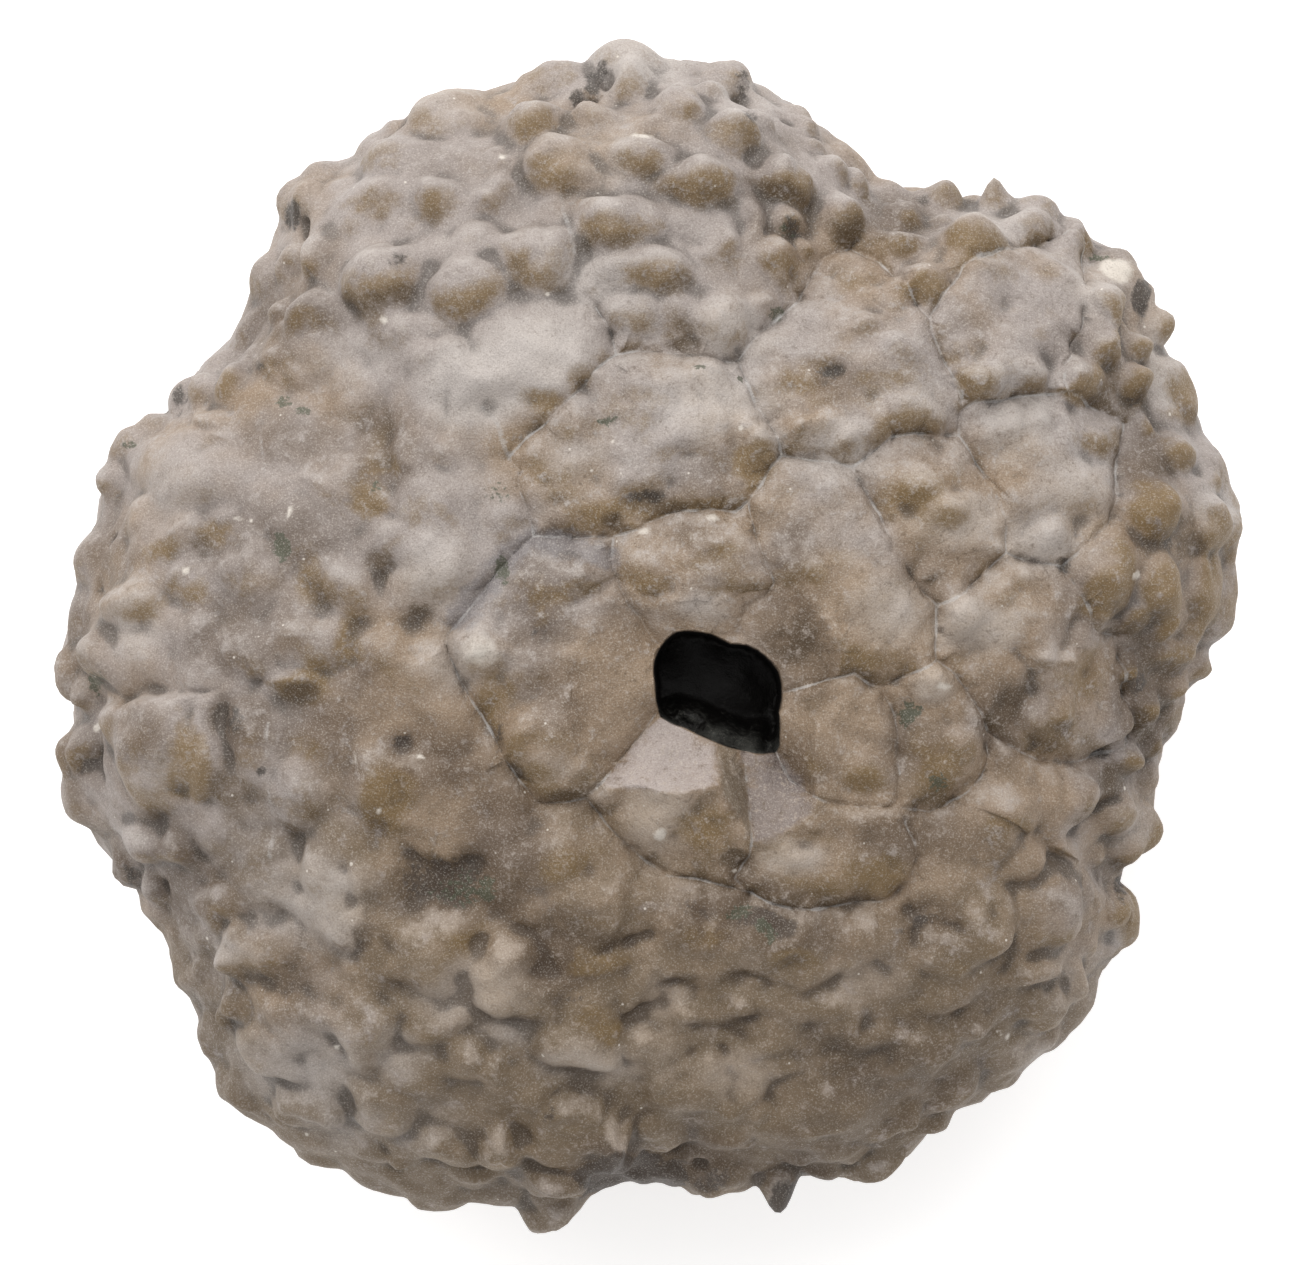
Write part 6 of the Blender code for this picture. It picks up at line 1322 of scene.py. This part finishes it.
# lighter grey of a funnel face, partly painted light
LILAC_AND_LIGHT = srgb(158, 149, 147)
OLIVE = srgb(112, 101, 86)
MAUVE = srgb(118, 109, 107)
FACET_PAINTS = (("lilac_and_lit", 0.72, LILAC_AND_LIGHT), ("olive", 0.60, OLIVE), ("mauve", 0.75, MAUVE))
# darker patches, partly painted shade
DULL_PATCH_AND_SHADE = srgb(80, 64, 49)
# warmer ground in the south, partly painted shade
SOUTH_GROUND_AND_SHADE = srgb(97, 82, 62)
# painted shade: near black inside the opening
OPENING_SHADE = srgb(15, 12, 10)
SILT = srgb(74, 75, 71)

stone, stone_shader, place = new_material("fossil_stone")


def mark(name):
    """One of the marks that the mesh carries."""
    return place.node("ShaderNodeAttribute", {"attribute_name": name}, output=2)


def cloud(scale_mm, detail=3.0, roughness=0.55, offset=0.0):
    """Noise whose features are about so many mm wide."""
    moved = place.node("ShaderNodeMapping", Vector=place, Location=(offset, -offset, 0.5 * offset))
    return place.node("ShaderNodeTexNoise", Vector=moved, Scale=1000.0 / scale_mm, Detail=detail,
                      Roughness=roughness)


def dust(per_metre, size, rarity):
    """White specks: a dot in each cell that passes a draw, of a size in cells."""
    gap = place.node("ShaderNodeTexVoronoi", {"feature": "F1"}, Vector=place, Scale=per_metre)
    draw = Signal(place.tree, gap.socket.node.outputs["Color"])
    drawn = place.node("ShaderNodeSeparateColor", Color=draw)
    return (0.0 - gap).band(-size, -0.4 * size) * drawn.band(rarity, rarity + 0.02)


def lay(colour, mask, low, high, strength, paint):
    """Lay a paint over the colour, from nothing where the mask is low to its full strength."""
    return (mask.band(low, high) * strength).over(colour, paint)


def shifted(*shares):
    """A sum of clouds, each moved to swing round 0 and times its share."""
    parts = [(source - 0.5) * share for source, share in shares]
    return sum(parts[1:], parts[0])


patches = cloud(4.5)
mottle = cloud(1.3, 5.0, 0.68, 0.013)
blotch = cloud(0.55, 4.0, 0.65, 0.023)
grain = cloud(0.16, 2.0, 0.6, 0.031)
frost_grain = cloud(0.05, 1.0, 0.5, 0.041)
speckle = dust(1400.0, 0.075, 0.70) + dust(700.0, 0.06, 0.80)

# ground: clean and warm stone, warmer round the middle, and warmer and darker to the south, partly
# painted shade
core = mark("core") + shifted((patches, 1.2), (mottle, 0.8))
in_core = core.band(0.1, 1.1)
# pale frost colour, also laid as painted light
frost_and_light = in_core.over(FROST_AND_LIGHT, WARM_FROST_AND_LIGHT)
# sediment colour, also laid as painted shade
sediment_and_shade_colour = in_core.over(SEDIMENT_AND_SHADE, WARM_SEDIMENT_AND_SHADE)
colour = (patches + mark("core") * 0.35).band(0.45, 0.71).over(CLEAN_STONE, WARM_STONE)
colour = lay(colour, mark("south_warmth_and_shade") + shifted((mottle, 1.4)), 0.25, 1.0, 0.85, SOUTH_GROUND_AND_SHADE)
# darker patches, partly painted shade, and painted shade on the western side
dull_and_shade = mark("dull_and_shade") + shifted((mottle, 0.9), (blotch, 0.5)) + mark("west_shade") * 0.12 + 0.04
colour = lay(colour, dull_and_shade, 0.0, 0.90, 0.80, DULL_PATCH_AND_SHADE)
# lighter patches, partly painted light
pale_and_lit = mark("pale_and_lit") + shifted((mottle, 0.6), (blotch, 0.5))
colour = lay(colour, pale_and_lit, 0.0, 0.90, 0.75, frost_and_light)

# iron stain on the knobs, with painted shade on their lower sides, brown stain with painted shade
# in hollows, and pale tops that are partly painted light
shaded = mark("lee_shade_and_stain") * (1.0 + mark("south_warmth_and_shade"))
iron_stain_and_shade = mark("knob") * 0.40 + mark("ochre") * 0.9 + mark("lee_shade_and_stain") + mark("plated") * 0.12
iron_stain_and_shade = iron_stain_and_shade + mark("east") * (mark("knob") * 0.7 + 0.1) - mark("pale_and_lit") * 0.55
colour = lay(colour, iron_stain_and_shade + shifted((mottle, 1.8), (blotch, 1.2)), 0.20, 1.0, 0.85, IRON_STAIN_AND_SHADE)
# painted shade on lower sides, in broad hollows, in the south and in darker patches, with brown
# stain
brown_and_shade = shaded * 0.9 + mark("broad_hollow_shade") * 0.9 + mark("brown_stain_and_shade") * 0.7 + mark("south_warmth_and_shade") * 0.25
brown_and_shade = brown_and_shade + mark("east") * 0.35 + mark("dull_and_shade") * 0.25 - mark("pale_and_lit") * 0.45
colour = lay(colour, brown_and_shade + shifted((mottle, 1.4), (blotch, 1.2)), 0.35, 1.15, 0.85, DEEP_BROWN)
# painted light with pale frost on tops: kept off hollows and off sides that lean from the window
lit_tops = shifted((blotch, 1.3), (mottle, 0.8)) - mark("hollow_sediment_and_shade") * 1.5 - shaded * 0.6
lit_tops = lit_tops - mark("south_warmth_and_shade") * 0.55 - mark("east") * 0.5
colour = lay(colour, lit_tops, 0.0, 0.60, 0.55, frost_and_light)

# the funnel's three southern faces, the lilac one lighter in part as painted light, then fine light
# and dark tones everywhere
facet_cloud = shifted((mottle, 1.2), (blotch, 1.6), (grain, 0.6))
for facet, strength, paint in FACET_PAINTS:
    colour = lay(colour, mark(facet) + facet_cloud, 0.1, 1.0, strength, paint)
tone = shifted((blotch, 1.0), (grain, 1.2))
tone_share = 0.32 + mark("plated") * 0.20
colour = lay(colour, tone, 0.03, 0.40, tone_share, frost_and_light)
colour = lay(colour, 0.0 - tone, 0.03, 0.50, tone_share, DEEP_BROWN)

# sediment and painted shade in the hollows, haze, sediment and painted shade at dark spots, grit
# and calcite
colour = lay(colour, mark("hollow_sediment_and_shade") + shifted((grain, 0.08)), 0.03, 0.14, 0.65, sediment_and_shade_colour)
colour = lay(colour, mark("haze") + shifted((blotch, 1.2)), 0.25, 0.75, 0.6, BLUE_HAZE)
# dark spots: sediment and painted shade
dark_sediment_and_shade = mark("dark_sediment_and_shade") + shifted((blotch, 1.4), (grain, 1.0))
colour = lay(colour, dark_sediment_and_shade, 0.4, 1.0, 0.85, sediment_and_shade_colour)
colour = lay(colour, mark("grit") * 1.3 + shifted((grain, 2.2)), 0.55, 0.95, 0.8, MOSSY_GRIT)
colour = lay(colour, mark("pale") + shifted((blotch, 0.9)), 0.25, 0.8, 0.8, CALCITE)

# a thin pale veil along the seams
along_seam = shifted((blotch, 0.10)) - mark("seam")
colour = lay(colour, along_seam, -0.055, -0.02, mottle.band(0.42, 0.62) * 0.55, VEIL)
along_faint = shifted((blotch, 0.10)) - mark("faint")
colour = lay(colour, along_faint, -0.10, -0.03, mottle.band(0.40, 0.58) * 0.40, VEIL)

# grains and specks of dust, and the opening: near-black painted shade with its silt
colour = lay(colour, frost_grain, 0.50, 0.80, 0.30, CALCITE)
colour = lay(colour, 1.0 - frost_grain, 0.50, 0.80, 0.30, DEEP_BROWN)
colour = (speckle * 0.8).over(colour, CALCITE)
silt_cover = (mark("silt") + shifted((blotch, 1.0), (grain, 1.4))).band(0.2, 0.9)
opening_shade_and_silt = silt_cover.over(OPENING_SHADE, SILT)
opening_shade_and_silt = ((frost_grain.band(0.55, 0.75) * 0.5 + speckle) * silt_cover * 0.6).over(opening_shade_and_silt, CALCITE)
colour = mark("shaft").band(0.02, 0.35).over(colour, opening_shade_and_silt)

tree = stone.node_tree
tree.links.new(colour.socket, stone_shader.inputs["Base Color"])
relief_height = mottle * 0.6 + blotch * 0.6 + grain * 0.7 + frost_grain * 0.4
bump = place.node("ShaderNodeBump", Height=relief_height, Strength=BUMP_STRENGTH,
                  Distance=BUMP_HEIGHT * MM)
tree.links.new(bump.socket, stone_shader.inputs["Normal"])
rough = shifted((mottle, 0.3)) + 0.58
tree.links.new(rough.socket, stone_shader.inputs["Roughness"])
stone_shader.inputs["Specular IOR Level"].default_value = GLOSS
calyx_mesh.materials.clear()
calyx_mesh.materials.append(stone)
print("material nodes:", len(tree.nodes))

# %% Hand the calyx over
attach(calyx, "root")
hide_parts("calyx")
